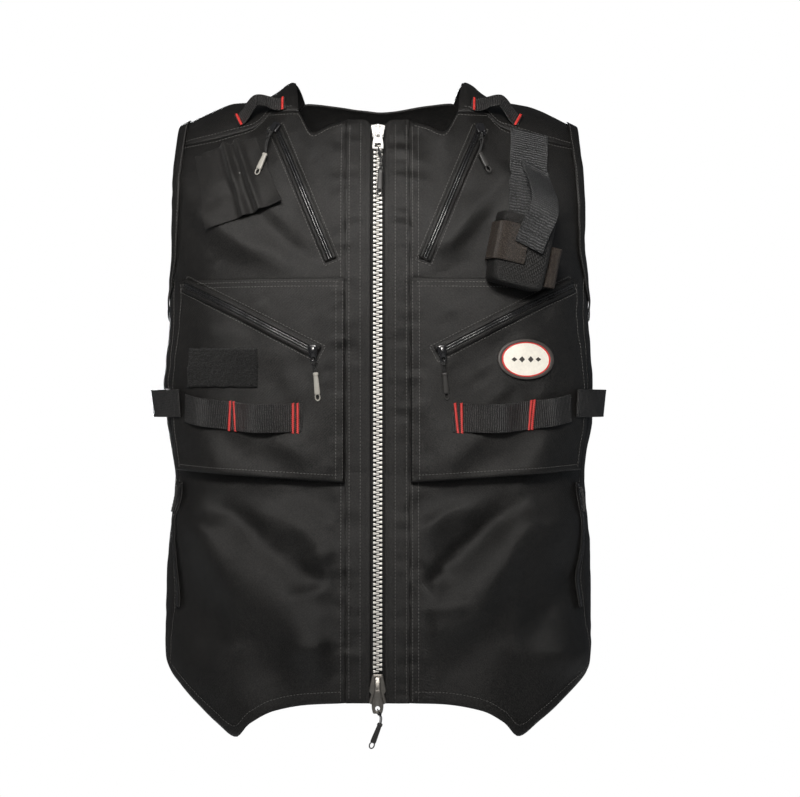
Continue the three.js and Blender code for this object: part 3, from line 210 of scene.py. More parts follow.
def reach_of(turn):
    """The share of the half width at a turn round the rounded cross-section: sin(turn) ** (2 / squareness)."""
    return np.sin(turn) ** (2 / squareness)


def turn_of(reach):
    """The turn that reaches a share of the half width."""
    return np.arcsin(np.clip(reach, 0, 1) ** (squareness / 2))


def level_of(height, reach):
    """The true level of a height up the cloth: itself below the chest, and a quarter sine up to the shoulder."""
    rise = np.clip((height - chest_level) / dome_height, 0, 1) * np.pi / 2
    ridge = -shoulder_drop * shoulder_share(reach)
    return np.where(height <= chest_level, height, chest_level + (ridge - chest_level) * np.sin(rise))


def height_of(z, reach):
    """The height up the cloth of a true level."""
    ridge = -shoulder_drop * shoulder_share(reach)
    share = np.clip((z - chest_level) / (ridge - chest_level), 0, 1)
    return np.where(z <= chest_level, z, chest_level + dome_height * np.arcsin(share) / (np.pi / 2))


def bare_body(turn, height, hand):
    """The body without folds: x = hand * reach * width, y = depth * |cos turn| ** (2 / squareness) * cos(rise), z = level."""
    bent = np.clip(turn, 0, np.pi)
    reach = reach_of(bent)
    z = level_of(height, reach)
    rise = np.clip((height - chest_level) / dome_height, 0, 1) * np.pi / 2
    side = np.abs(np.cos(bent)) ** (2 / squareness) * np.cos(rise)
    level = -z / body_length
    depth = np.where(bent < np.pi / 2, -front_depth * front_share(level), back_depth * back_share(level))
    return np.stack(np.broadcast_arrays(hand * reach * width_at(z), depth * side - ridge_forward, z), -1)


def unit(vectors):
    """The vectors at length one."""
    return vectors / np.maximum(np.linalg.norm(vectors, axis=-1, keepdims=True), 1e-12)


def body_normal(turn, height, hand):
    """The way out of the body: the cross product of a short step round it and a short step up it."""
    across = bare_body(turn + 0.004, height, hand) - bare_body(turn - 0.004, height, hand)
    up = bare_body(turn, height, hand) - bare_body(turn, height - 1, hand)
    return unit(np.cross(across, up) * np.expand_dims(np.broadcast_to(hand, across.shape[:-1]), -1))


# Folds of the cloth. Each row: x and z of both ends, the width (shares of half_width, body_length
# and half_width), and the rise as a share of fold_height.
right_folds = [
    (0.8, 0.67, 0.32, 0.86, 0.14, 1.0),
    (0.66, 0.66, 0.33, 0.76, 0.07, -0.9),
    (0.38, 0.66, 0.18, 0.74, 0.07, 0.7),
    (0.9, 0.8, 0.5, 0.88, 0.16, -0.8),
    (0.66, 0.9, 0.55, 0.97, 0.13, 0.7),
    (0.78, 0.22, 0.42, 0.31, 0.06, 0.6),
    (0.62, 0.19, 0.3, 0.3, 0.05, -0.5),
    (0.36, 0.645, 0.2, 0.68, 0.035, 0.35),
    (0.3, 0.735, 0.18, 0.715, 0.03, 0.3),
    (0.34, 0.785, 0.18, 0.775, 0.03, 0.25),
    (0.36, 0.86, 0.18, 0.85, 0.04, 0.25),
    (0.74, 0.7, 0.6, 0.86, 0.09, 0.6),
    (0.5, 0.64, 0.3, 0.86, 0.1, 0.55),
    (0.5, 0.1, 0.2, 0.26, 0.05, 0.3),
]
left_folds = [
    (0.78, 0.67, 0.36, 0.8, 0.13, 1.0),
    (0.6, 0.65, 0.26, 0.76, 0.06, -1.0),
    (0.36, 0.65, 0.17, 0.7, 0.06, 0.6),
    (0.88, 0.77, 0.7, 0.84, 0.12, -1.0),
    (0.9, 0.88, 0.6, 0.86, 0.1, 0.8),
    (0.5, 0.84, 0.3, 0.9, 0.12, -0.6),
    (0.36, 0.22, 0.24, 0.3, 0.07, 0.5),
    (0.34, 0.65, 0.19, 0.685, 0.035, 0.35),
    (0.32, 0.75, 0.19, 0.73, 0.03, 0.3),
    (0.34, 0.8, 0.19, 0.81, 0.03, 0.25),
    (0.66, 0.64, 0.44, 0.8, 0.07, 0.7),
    (0.6, 0.82, 0.3, 0.84, 0.07, 0.4),
    (0.56, 0.16, 0.3, 0.27, 0.05, 0.35),
]
back_folds = [
    (-0.55, 0.3, -0.3, 0.62, 0.12, 0.7),
    (0.5, 0.28, 0.28, 0.6, 0.12, 0.7),
    (-0.1, 0.45, 0.05, 0.85, 0.16, -0.6),
    (0.6, 0.62, 0.4, 0.85, 0.13, 0.8),
    (-0.6, 0.65, -0.45, 0.85, 0.13, 0.8),
]


def ridges(x, z, rows):
    """The sum of soft ridges along lines: each is rise * exp(-(distance to its line / width)²)."""
    lift = np.zeros(np.broadcast(x, z).shape)
    for x0, z0, x1, z1, width, rise in rows:
        start = np.array([x0 * half_width, -z0 * body_length])
        along = np.array([x1 * half_width, -z1 * body_length]) - start
        here = np.stack(np.broadcast_arrays(x - start[0], z - start[1]), -1)
        share = np.clip(here @ along / (along @ along), 0, 1)
        away = np.linalg.norm(here - share[..., None] * along, axis=-1) / (width * half_width)
        lift = lift + rise * np.exp(-away * away)
    return lift


def soft_noise(x, z, size, seed):
    """Smooth noise of about one unit: seeded numbers on a lattice of cells of a size, swung evenly between."""
    numbers = np.random.default_rng(seed).normal(0, 1, (64, 64))
    u, v = x / size + 200, z / size + 200
    i, j = np.floor(u).astype(int), np.floor(v).astype(int)
    s, t = u - i, v - j
    s, t = s * s * (3 - 2 * s), t * t * (3 - 2 * t)
    low = lerp(numbers[i % 64, j % 64], numbers[(i + 1) % 64, j % 64], s)
    high = lerp(numbers[i % 64, (j + 1) % 64], numbers[(i + 1) % 64, (j + 1) % 64], s)
    return lerp(low, high, t)


def fold_lift(point, turn):
    """How far folds and small wrinkles lift the cloth, less beside the zip, the side seams and under the pockets."""
    x, z = point[..., 0], point[..., 2]
    front = turn < np.pi / 2
    rows = np.where(x < 0, ridges(np.abs(x), z, right_folds), ridges(np.abs(x), z, left_folds))
    lift = np.where(front, rows, ridges(x, z, back_folds)) * fold_height
    beside_placket = np.where(front, ease(np.abs(x), placket_half, placket_half * 2), 1)
    beside_side = ease(np.abs(turn - np.pi / 2), 0.1, 0.45)
    covered = ease(-z, pocket_top - 35, pocket_top) - ease(-z, pocket_bottom + 5, pocket_bottom + 40)
    small = 0.8 * soft_noise(x + 0.5 * z, z * 0.6, 34, 3) + 0.3 * soft_noise(x - 0.6 * z, z, 13, 4)
    pucker = (0.8 * soft_noise(x * 0.45, z, 9, 5) + 0.3 * soft_noise(x * 0.6, z, 5, 6)) * np.exp(-(((np.abs(x) - placket_half) / 15) ** 2)) * front
    return lift * beside_placket * beside_side * np.where(front, 1 - covered, 1) + small * beside_placket + pucker


def cloth_point(turn, height, hand, lift=0.0):
    """A place on the folded cloth, lifted along the body's normal."""
    point = bare_body(turn, height, hand)
    out = np.asarray(lift + fold_lift(point, turn))
    return point + body_normal(turn, height, hand) * out[..., None]


def outer_turn(height):
    """How far round the panels reach: the side seam, or the armhole's edge above the notch."""
    edge = np.radians(armhole_turn(-height / armhole_depth))
    return np.where(height <= notch_height, seam_turn, edge)


def column_place(share, height, inner):
    """The turn round the body at a share of the way from inner (x) to the outer edge."""
    outer = outer_turn(height)
    width = width_at(level_of(height, reach_of(outer)))
    return turn_of(lerp(inner, reach_of(outer) * width, share) / width)


def top_height(share, back):
    """The height of a panel's top edge: the neckline up to its neck column, and the yoke's seam from there."""
    inner, neck_share, drop = (0, 0.38, back_yoke_drop) if back else (placket_half + 0.3, 0.28, yoke_drop)
    seam = back_yoke_seam if back else yoke_seam
    edge = reach_of(outer_turn(-drop)) * width_at(-drop)
    reach = np.minimum(lerp(inner, edge, share), edge) / width_at(-drop)
    neck_reach = lerp(inner, edge, neck_share) / width_at(-drop)
    if back:
        neck = lerp(-back_neck_drop, -drop * seam(neck_reach), ease(share, 0, neck_share))
    else:
        neck = -front_neck_drop * neckline(share / neck_share)
    return height_of(np.where(share < neck_share, neck, -drop * seam(reach)), reach)


def panel_heights(hem, top, count):
    """Heights from the hem through the notch to the top edge, as many rows for every column."""
    t = np.linspace(0, 1, count)[:, None]
    notch = 0.7
    lower = lerp(hem, notch_height, np.minimum(t / notch, 1))
    upper = lerp(notch_height, top, np.clip((t - notch) / (1 - notch), 0, 1))
    return np.where(t < notch, lower, upper)


def close_to_edges(count, share=0.8):
    """Shares from 0 to 1 that lie closer together at both ends."""
    t = np.linspace(0, 1, count)
    return t - share * np.sin(2 * np.pi * t) / (2 * np.pi)


def run_lengths(points, axis):
    """The distance gone along a grid line up to each point."""
    step = np.linalg.norm(np.diff(points, axis=axis), axis=-1)
    start = np.zeros_like(np.take(step, [0], axis=axis))
    return np.concatenate([start, np.cumsum(step, axis=axis)], axis=axis)


def flat_places(points):
    """Where the cloth of a grid lay when flat, in metres: the distances gone across and up from its middle."""
    across, up = run_lengths(points, 1), run_lengths(points, 0)
    middle_column, middle_row = points.shape[1] // 2, points.shape[0] // 2
    across = across - across[:, middle_column][:, None]
    up = up - up[middle_row][None, :]
    return np.stack([across, up], -1) / 1000


def put_mesh(name, points, faces, places=None, smooth=True):
    """A mesh object from points in mm, faces as rows of corners, and a flat place in metres for each point."""
    mesh = bpy.data.meshes.new(name)
    faces = [np.asarray(f, np.int32) for f in (faces if isinstance(faces, list) else [faces]) if len(f)]
    corners = np.concatenate([f.ravel() for f in faces])
    sizes = np.concatenate([np.full(len(f), f.shape[1], np.int32) for f in faces])
    mesh.vertices.add(len(points))
    mesh.vertices.foreach_set("co", (np.asarray(points, float) / 1000).astype(np.float32).ravel())
    mesh.loops.add(len(corners))
    mesh.loops.foreach_set("vertex_index", corners)
    mesh.polygons.add(len(sizes))
    mesh.polygons.foreach_set("loop_start", np.concatenate([[0], np.cumsum(sizes)[:-1]]).astype(np.int32))
    mesh.polygons.foreach_set("use_smooth", np.full(len(sizes), smooth))
    if places is not None:
        layer = mesh.uv_layers.new(name="flat")
        layer.data.foreach_set("uv", np.asarray(places, np.float32).reshape(-1, 2)[corners].ravel())
    mesh.update(calc_edges=True)
    mesh.validate()
    piece = bpy.data.objects.new(name, mesh)
    bpy.context.collection.objects.link(piece)
    return piece


def grid_faces(rows, columns, looped_rows=False, looped_columns=False):
    """The quads of a grid of points, its last row or column joined to its first where it is looped."""
    i = np.arange(rows if looped_rows else rows - 1)[:, None]
    j = np.arange(columns if looped_columns else columns - 1)[None, :]
    i2, j2 = (i + 1) % rows, (j + 1) % columns
    quads = [i * columns + j, i * columns + j2, i2 * columns + j2, i2 * columns + j]
    return np.stack(np.broadcast_arrays(*quads), -1).reshape(-1, 4)


def cloth_piece(name, points, outward, wall=cloth_wall):
    """A cut of cloth from a grid of places on its outer face. outward: the way out at each place."""
    faces = grid_faces(*points.shape[:2])
    across = points[:, 1:][:-1] - points[:, :-1][:-1]
    up = points[1:][:, :-1] - points[:-1][:, :-1]
    if np.sum(np.cross(across, up) * outward[:-1, :-1]) < 0:
        faces = faces[:, ::-1]
    piece = put_mesh(name, points.reshape(-1, 3), faces, flat_places(points))
    thick = piece.modifiers.new("thickness", "SOLIDIFY")
    thick.thickness = wall / 1000
    thick.offset = -1
    return piece


def edge_roll(points, depth=1.0, reach=2.2):
    """How far the cloth turns down into the seams round a grid: depth * exp(-(distance to the edge / reach)²)."""
    across, up = run_lengths(points, 1), run_lengths(points, 0)
    away = np.minimum(np.minimum(across, across[:, -1:] - across), np.minimum(up, up[-1:] - up))
    return -depth * np.exp(-((away / reach) ** 2))


def shader_group(name, inputs, outputs):
    """A node group with named sockets. Returns its tree and its input and output nodes."""
    group = bpy.data.node_groups.new(name, "ShaderNodeTree")
    for label, kind, value in inputs:
        socket = group.interface.new_socket(label, in_out="INPUT", socket_type=kind)
        if value is not None:
            socket.default_value = value
    for label, kind in outputs:
        group.interface.new_socket(label, in_out="OUTPUT", socket_type=kind)
    return group, group.nodes.new("NodeGroupInput"), group.nodes.new("NodeGroupOutput")


def worked(tree, operation, *values):
    """A Math node of an operation on sockets or numbers."""
    node = tree.nodes.new("ShaderNodeMath")
    node.operation = operation
    for socket, value in zip(node.inputs, values):
        if isinstance(value, (int, float)):
            socket.default_value = value
        else:
            tree.links.new(value, socket)
    return node.outputs[0]


# Woven threads: warp and weft are half sine ridges, and which one lies on top steps sideways by
# one thread a row, as in a twill.
weave, weave_in, weave_out = shader_group(
    "woven_threads",
    [("Vector", "NodeSocketVector", None), ("Threads a metre", "NodeSocketFloat", 1100), ("Float", "NodeSocketFloat", 3)],
    [("Height", "NodeSocketFloat"), ("Thread", "NodeSocketFloat")],
)
split = weave.nodes.new("ShaderNodeSeparateXYZ")
weave.links.new(weave_in.outputs["Vector"], split.inputs[0])
threads = weave_in.outputs["Threads a metre"]
u = worked(weave, "MULTIPLY", split.outputs[0], threads)
v = worked(weave, "MULTIPLY", split.outputs[1], threads)
step_u, step_v = worked(weave, "FLOOR", u), worked(weave, "FLOOR", v)
diagonal = worked(weave, "FLOORED_MODULO", worked(weave, "ADD", step_u, step_v), weave_in.outputs["Float"])
over = worked(weave, "LESS_THAN", diagonal, 1.5)
warp = worked(weave, "ABSOLUTE", worked(weave, "SINE", worked(weave, "MULTIPLY", u, np.pi)))
weft = worked(weave, "ABSOLUTE", worked(weave, "SINE", worked(weave, "MULTIPLY", v, np.pi)))
top_warp = worked(weave, "MULTIPLY", warp, worked(weave, "MULTIPLY_ADD", over, 0.6, 0.4))
top_weft = worked(weave, "MULTIPLY", weft, worked(weave, "MULTIPLY_ADD", over, -0.6, 1.0))
weave.links.new(worked(weave, "MAXIMUM", top_warp, top_weft), weave_out.inputs["Height"])
weave.links.new(over, weave_out.inputs["Thread"])

# Worn cloth: soft patches where it is a little greyer, and a few specks of pale lint.
wear, wear_in, wear_out = shader_group(
    "worn_and_dusty",
    [("Vector", "NodeSocketVector", None), ("Patch size", "NodeSocketFloat", 14.0), ("Lint", "NodeSocketFloat", 0.2)],
    [("Patches", "NodeSocketFloat"), ("Lint", "NodeSocketFloat"), ("Grain", "NodeSocketFloat")],
)
patches = wear.nodes.new("ShaderNodeTexNoise")
patches.inputs["Detail"].default_value = 4
patches.inputs["Roughness"].default_value = 0.6
wear.links.new(wear_in.outputs["Vector"], patches.inputs["Vector"])
wear.links.new(wear_in.outputs["Patch size"], patches.inputs["Scale"])
wear.links.new(patches.outputs["Fac"], wear_out.inputs["Patches"])
grain = wear.nodes.new("ShaderNodeTexNoise")
grain.inputs["Scale"].default_value = 900
grain.inputs["Detail"].default_value = 3
wear.links.new(wear_in.outputs["Vector"], grain.inputs["Vector"])
wear.links.new(grain.outputs["Fac"], wear_out.inputs["Grain"])
specks = wear.nodes.new("ShaderNodeTexVoronoi")
specks.inputs["Scale"].default_value = 160
wear.links.new(wear_in.outputs["Vector"], specks.inputs["Vector"])
chosen = worked(wear, "GREATER_THAN", specks.outputs["Color"], 0.93)
dot = worked(wear, "LESS_THAN", specks.outputs["Distance"], 0.13)
few = worked(wear, "MULTIPLY", worked(wear, "MULTIPLY", chosen, dot), wear_in.outputs["Lint"])
wear.links.new(few, wear_out.inputs["Lint"])


def mixed(tree, factor, a, b):
    """A Mix node of two colours, each a socket or a colour."""
    node = tree.nodes.new("ShaderNodeMix")
    node.data_type = "RGBA"
    for socket, value in ((node.inputs[0], factor), (node.inputs[6], a), (node.inputs[7], b)):
        if isinstance(value, (int, float)):
            socket.default_value = value
        elif isinstance(value, tuple):
            socket.default_value = (*value, 1)
        else:
            tree.links.new(value, socket)
    return node.outputs[2]


def woven_material(name, dark, pale, threads=1000, roughness=0.48, sheen=0.0, depth=0.4, lint=0.3, patch=14.0):
    """Black woven cloth: twill bump on the flat places, greyer patches, grain and a little lint."""
    material = bpy.data.materials.new(name)
    material.use_nodes = True
    tree = material.node_tree
    shader = tree.nodes["Principled BSDF"]
    shader.inputs["Sheen Weight"].default_value = sheen
    shader.inputs["Sheen Roughness"].default_value = 0.45
    shader.inputs["Specular IOR Level"].default_value = 0.34
    places = tree.nodes.new("ShaderNodeUVMap")
    places.uv_map = "flat"
    solid = tree.nodes.new("ShaderNodeTexCoord")
    woven = tree.nodes.new("ShaderNodeGroup")
    woven.node_tree = weave
    woven.inputs["Threads a metre"].default_value = threads
    tree.links.new(places.outputs[0], woven.inputs["Vector"])
    worn = tree.nodes.new("ShaderNodeGroup")
    worn.node_tree = wear
    worn.inputs["Lint"].default_value = lint
    worn.inputs["Patch size"].default_value = patch
    tree.links.new(solid.outputs["Object"], worn.inputs["Vector"])
    spread = worked(tree, "MULTIPLY_ADD", worn.outputs["Patches"], 1.6, -0.3)
    tone = worked(tree, "MULTIPLY_ADD", worn.outputs["Grain"], 3.2, worked(tree, "MULTIPLY_ADD", spread, 0.5, -1.55))
    thread_tone = worked(tree, "MULTIPLY_ADD", woven.outputs["Thread"], 0.2, tone)
    base = mixed(tree, worked(tree, "MINIMUM", worked(tree, "MAXIMUM", thread_tone, 0.0), 1.0), dark, pale)
    tree.links.new(mixed(tree, worn.outputs["Lint"], base, (0.35, 0.34, 0.33)), shader.inputs["Base Color"])
    rough = worked(tree, "MULTIPLY_ADD", worn.outputs["Patches"], 0.2, roughness - 0.1)
    tree.links.new(rough, shader.inputs["Roughness"])
    bump = tree.nodes.new("ShaderNodeBump")
    bump.inputs["Strength"].default_value = depth
    bump.inputs["Distance"].default_value = 0.0006
    height = worked(tree, "MULTIPLY_ADD", worn.outputs["Grain"], 1.2, woven.outputs["Height"])
    tree.links.new(height, bump.inputs["Height"])
    tree.links.new(bump.outputs[0], shader.inputs["Normal"])
    return material


shell_cloth = woven_material("black_twill", (0.0008, 0.0008, 0.0008), (0.016, 0.015, 0.014))


def dress(piece, material, slot, *nodes):
    """Gives a piece its material, makes it ride on the vest, and says which solids it stands for; its slot is not used.
    """
    if material is not None:
        piece.data.materials.append(material)
    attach(piece, "root")
    if nodes:
        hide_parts(*nodes)
    return piece


def resampled(points, gone, at):
    """The places at distances along a line whose points lie at the distances gone."""
    return np.stack([np.interp(at, gone, column) for column in points.T], -1)


def repeated(base, faces, origins, axes, scale=None):
    """Copies of a small mesh at many places. axes: (count, 3, 3), the directions of its x, y and z."""
    copies = np.einsum("vk,nkc->nvc", base, axes)
    if scale is not None:
        copies = np.einsum("nvk,nkc->nvc", base[None] * scale[:, None, :], axes)
    points = copies + origins[:, None, :]
    shift = np.arange(len(origins))[:, None, None] * len(base)
    return points.reshape(-1, 3), (faces[None] + shift).reshape(-1, faces.shape[1])


def rounded_block(rings, corners=8):
    """A small closed block through rings along x. Each ring: x, half height, half depth, with four or eight corners."""
    turns = (np.arange(corners) + 0.5) * 2 * np.pi / corners
    c = np.sign(np.cos(turns)) * np.abs(np.cos(turns)) ** 0.5
    s = np.sign(np.sin(turns)) * np.abs(np.sin(turns)) ** 0.5
    points = np.concatenate([np.stack([np.full(corners, x), c * h, s * d], -1) for x, h, d in rings])
    quads = grid_faces(len(rings), corners, looped_columns=True)
    fan = np.array([[0, i + 2, i + 1, i] for i in range(1, corners - 2, 2)])
    return points, np.concatenate([quads, fan, (len(rings) - 1) * corners + fan[:, ::-1]])


def polymer_material(name, color, roughness, coat=0.0, bump=0.1, grain=300):
    """Moulded nylon or rubber: one colour with a faint mottle, and a fine uneven skin."""
    material = bpy.data.materials.new(name)
    material.use_nodes = True
    tree = material.node_tree
    shader = tree.nodes["Principled BSDF"]
    shader.inputs["Coat Weight"].default_value = coat
    shader.inputs["Coat Roughness"].default_value = 0.15
    solid = tree.nodes.new("ShaderNodeTexCoord")
    worn = tree.nodes.new("ShaderNodeGroup")
    worn.node_tree = wear
    worn.inputs["Patch size"].default_value = grain
    worn.inputs["Lint"].default_value = 0.1
    tree.links.new(solid.outputs["Object"], worn.inputs["Vector"])
    paler = tuple(min(1, c * 1.35 + 0.004) for c in color)
    base = mixed(tree, worn.outputs["Patches"], color, paler)
    tree.links.new(mixed(tree, worn.outputs["Lint"], base, (0.4, 0.39, 0.38)), shader.inputs["Base Color"])
    rough = worked(tree, "MULTIPLY_ADD", worn.outputs["Grain"], 0.2, roughness - 0.1)
    tree.links.new(rough, shader.inputs["Roughness"])
    height = tree.nodes.new("ShaderNodeBump")
    height.inputs["Strength"].default_value = bump
    height.inputs["Distance"].default_value = 0.0003
    tree.links.new(worn.outputs["Grain"], height.inputs["Height"])
    tree.links.new(height.outputs[0], shader.inputs["Normal"])
    return material


def gathered(name, parts):
    """One mesh from several (points, faces)."""
    shift = np.cumsum([0] + [len(points) for points, _ in parts[:-1]])
    return put_mesh(name, np.concatenate([p for p, _ in parts]), np.concatenate([f + s for (_, f), s in zip(parts, shift)]))


stitch, stitch_faces = rounded_block([(-0.5, 0.1, 0.02), (-0.2, 0.3, 0.28), (0.2, 0.3, 0.28), (0.5, 0.1, 0.02)], 4)
black_thread = polymer_material("black_thread", (0.07, 0.068, 0.065), 0.4, 0.1, 0.3)
dark_thread = polymer_material("dark_thread", (0.004, 0.004, 0.004), 0.5, 0.0, 0.3)


def sewn(name, lines, lift=0.2, pitch=3.3, length=2.5, thread=black_thread):
    """Topstitching along lines of (points, normals): a short thread for each stitch, drawn into the cloth at its ends."""
    parts = []
    for points, normals in lines:
        gone = run_lengths(points, 0)
        at = np.arange(pitch / 2, gone[-1], pitch)
        outs = unit(resampled(normals, gone, at))
        along = unit(resampled(points, gone, at + 0.5) - resampled(points, gone, at - 0.5))
        axes = np.stack([along, np.cross(outs, along), outs], -2)
        parts.append(repeated(stitch, stitch_faces, resampled(points, gone, at) + outs * lift, axes, np.tile([length, 1.1, 1.0], (len(at), 1))))
    return dress(gathered(name, parts), thread, "shell_cloth")


def on_body(turn, height, hand, lift=0.0):
    """A line on the cloth, as its points and the way out at each."""
    return cloth_point(turn, height, hand, lift), body_normal(turn, height, hand)


def panel(name, turn, height, hand):
    """A panel of the shell on the folded body, turned down into its seams, with the gap of a seam round it."""
    bare = cloth_point(turn, height, hand)
    points = cloth_point(turn, height, hand, edge_roll(bare))
    return cloth_piece(name, points, body_normal(turn, height, hand))


back_shares = close_to_edges(150) * 2 - 1
share = np.abs(back_shares)
hem = -body_length * lerp(back_hem, back_seam_hem, ease(share, 0, 1))
height = panel_heights(hem, top_height(share, True), 210)
turn = np.pi - column_place(share[None, :], height, 0)
back_panel = panel("back_panel_cloth", turn, height, np.sign(back_shares)[None, :])
dress(back_panel, shell_cloth, "shell_cloth", "back_panel")
share = np.linspace(-0.99, 0.99, 200)
low = -body_length * lerp(back_hem, back_seam_hem, ease(np.abs(share), 0, 1)) + 11
high = top_height(np.abs(share), True) - 4
back_rows = [on_body(np.pi - column_place(np.abs(share), level, 0), level, np.sign(share)) for level in (low, high)]
sewn("back_panel_stitches", back_rows)

# The side panels are upright cuts under the arms that join the back to the fronts. Their top
# edges are the foot of each armhole.
hands = (("right", -1), ("left", 1))
for side, hand in hands:
    turn = lerp(seam_turn, np.pi - seam_turn, close_to_edges(26))
    from_middle = np.abs(turn - np.pi / 2) / (np.pi / 2 - seam_turn)
    seam_hem = np.where(turn < np.pi / 2, front_hem(1.0), back_seam_hem)
    hem = -body_length * lerp(side_hem, seam_hem, from_middle)
    top = -armhole_depth * underarm_depth(np.degrees(np.minimum(turn, np.pi - turn)))
    height = lerp(hem, top, close_to_edges(120)[:, None])
    piece = panel(f"side_panel_{side}_cloth", np.broadcast_to(turn, height.shape), height, hand)
    dress(piece, shell_cloth, "shell_cloth", f"side_panel_{side}")

# The two front panels run from the plackets to the side seams, and from the neckline and the yoke
# seam to a hem that dips to a point on each side.
outer_rows = {"right": (34.8,), "left": (32.9, 38.5)}
for side, hand in hands:
    share = close_to_edges(90)
    height = panel_heights(-body_length * front_hem(share), top_height(share, False), 240)
    turn = column_place(share[None, :], height, placket_half + 0.3)
    piece = panel(f"front_panel_{side}_cloth", turn, height, hand)
    dress(piece, shell_cloth, "shell_cloth", f"front_panel_{side}")
    share = np.linspace(0.03, 0.985, 120)
    low, high = -body_length * front_hem(share) + 11, top_height(share, False) - 4
    rows = [on_body(column_place(share, level, placket_half + 0.3), level, hand) for level in (low, high)]
    level = np.linspace(-body_length * front_hem(1.0) + 8, notch_height - 4, 120)
    rows.append(on_body(seam_turn - np.radians(1.6), level, hand))
    for x in outer_rows[side]:
        level = np.linspace(-body_length * 0.94, -front_neck_drop * 0.93, 300)
        rows.append(on_body(turn_of(x / width_at(level)), height_of(level, x / half_width), hand))
    sewn(f"front_panel_{side}_stitches", rows)

# The shoulder yokes are curved cuts of the same twill over each shoulder, seamed to the fronts and
# the back.
front_shares = curve_through(*zip(np.linspace(0, 1, 8), (0.28, 0.4, 0.52, 0.64, 0.76, 0.87, 0.945, 1)))
rear_shares = curve_through(*zip(np.linspace(0, 1, 8), (0.38, 0.46, 0.56, 0.66, 0.76, 0.86, 0.945, 1)))


def yoke_slope(across, up, back):
    """One slope of the yoke, from its seam (up = 0) to the shoulder ridge (up = 1)."""
    share = (rear_shares if back else front_shares)(across)
    foot = top_height(share, back)
    foot_turn = column_place(share, foot, 0 if back else placket_half + 0.3)
    ridge = lerp(neck_half / width_at(0), reach_of(outer_turn(0.0)), across)
    height = lerp(foot, 0, up)
    reach = lerp(reach_of(foot_turn), ridge, up)
    edge = reach_of(outer_turn(height))
    last = top_height(np.array([1.0]), back)
    straight = lerp(reach_of(outer_turn(last)), reach_of(outer_turn(0.0)), up)
    reach = reach + (edge - straight) * across ** 8
    turn = turn_of(reach)
    return (np.pi - turn if back else turn), height


for side, hand in hands:
    across = close_to_edges(56)[None, :]
    up = np.linspace(0, 1, 42)[:, None]
    turn_f, height_f = yoke_slope(across, up, False)
    turn_b, height_b = yoke_slope(across, up[:-1], True)
    turn = np.concatenate([turn_f, turn_b[::-1]])
    height = np.concatenate([height_f, height_b[::-1]])
    piece = panel(f"shoulder_yoke_{side}_cloth", turn, height, hand)
    dress(piece, shell_cloth, "shell_cloth", f"shoulder_yoke_{side}")
    across = np.linspace(0.04, 0.96, 80)
    rows = [on_body(*yoke_slope(across, up, back), hand) for up, back in ((0.07, False), (0.07, True))]
    sewn(f"shoulder_yoke_{side}_stitches", rows)

# A folded band binds each armhole. It is a strip of the twill, sewn round the edge.
binding_width = 11


def loft(name, rings, material_places=None, looped=False):
    """A closed body through rings of points (count, corners, 3), its ends filled or joined into a loop."""
    count, size = rings.shape[:2]
    faces = grid_faces(count, size, looped_rows=looped, looped_columns=True)
    points = rings.reshape(-1, 3)
    if material_places is None:
        closed = np.concatenate([rings, rings[:, :1]], 1)
        around = run_lengths(closed, 1)[:, :-1]
        along = run_lengths(rings, 0)[:, :1] * np.ones((1, size))
        material_places = np.stack([around, along], -1) / 1000
    places = np.asarray(material_places).reshape(-1, 2)
    parts = [faces]
    if not looped:
        middle = np.stack([rings[0].mean(0), rings[-1].mean(0)])
        points = np.concatenate([points, middle])
        places = np.concatenate([places, places[[0, -1]]])
        j = np.arange(size)
        first, last = count * size, count * size + 1
        parts.append(np.stack([(j + 1) % size, j, np.full(size, first)], -1))
        end = (count - 1) * size
        parts.append(np.stack([end + j, end + (j + 1) % size, np.full(size, last)], -1))
    corner = points[faces]
    volume = np.sum(np.cross(corner[:, 0] - corner[:, 2], corner[:, 1] - corner[:, 3]) * corner.mean(1)) / 6
    if volume > 0:
        parts = [p[:, ::-1] for p in parts]
    return put_mesh(name, points, parts, places)


def slid(turn, height, hand, move):
    """The place on the body that a short move along its surface leads to, by least squares."""
    here = bare_body(turn, height, hand)
    per_turn = (bare_body(turn + 0.01, height, hand) - here) / 0.01
    per_height = here - bare_body(turn, height - 1, hand)
    a, b, c = (np.sum(p * q, -1) for p, q in ((per_turn, per_turn), (per_turn, per_height), (per_height, per_height)))
    u, v = np.sum(move * per_turn, -1), np.sum(move * per_height, -1)
    scale = a * c - b * b
    return turn + (u * c - v * b) / scale, height + (v * a - u * b) / scale


for side, hand in hands:
    t = np.linspace(0, 1, 90)
    quarter = -armhole_depth * (1 - (1 - t) ** 1.25)
    edge = np.radians(armhole_turn(-quarter / armhole_depth))
    height = np.concatenate([quarter[:-1], quarter[:0:-1]])
    turn = np.concatenate([edge[:-1], (np.pi - edge)[:0:-1]])
    line = bare_body(turn, height, hand)
    along = np.roll(line, -1, 0) - np.roll(line, 1, 0)
    away = unit(np.cross(along, body_normal(turn, height, hand))) * hand
    # each row: how far in from the edge as a share of the width, and the lift
    profile = [(0.02, 0.5), (0, 1.3), (0.05, 1.9), (0.14, 2.15), (0.5, 2.1), (0.8, 2.0), (0.86, 1.75), (0.92, 2.05),
               (0.98, 1.9), (1, 1.5), (0.98, 1.17), (0.5, 1.17), (0.1, 1.17)]
    corners = []
    for distance, lift in profile:
        to = slid(turn, height, hand, away * (0.5 + distance * binding_width))
        corners.append(cloth_point(*to, hand, lift))
    piece = loft(f"armhole_binding_{side}_cloth", np.stack(corners, 1), looped=True)
    dress(piece, shell_cloth, "shell_cloth", f"armhole_binding_{side}")
    to = slid(turn, height, hand, away * (0.5 + 0.86 * binding_width))
    sewn(f"armhole_binding_{side}_stitches", [on_body(*to, hand, 1.75)])

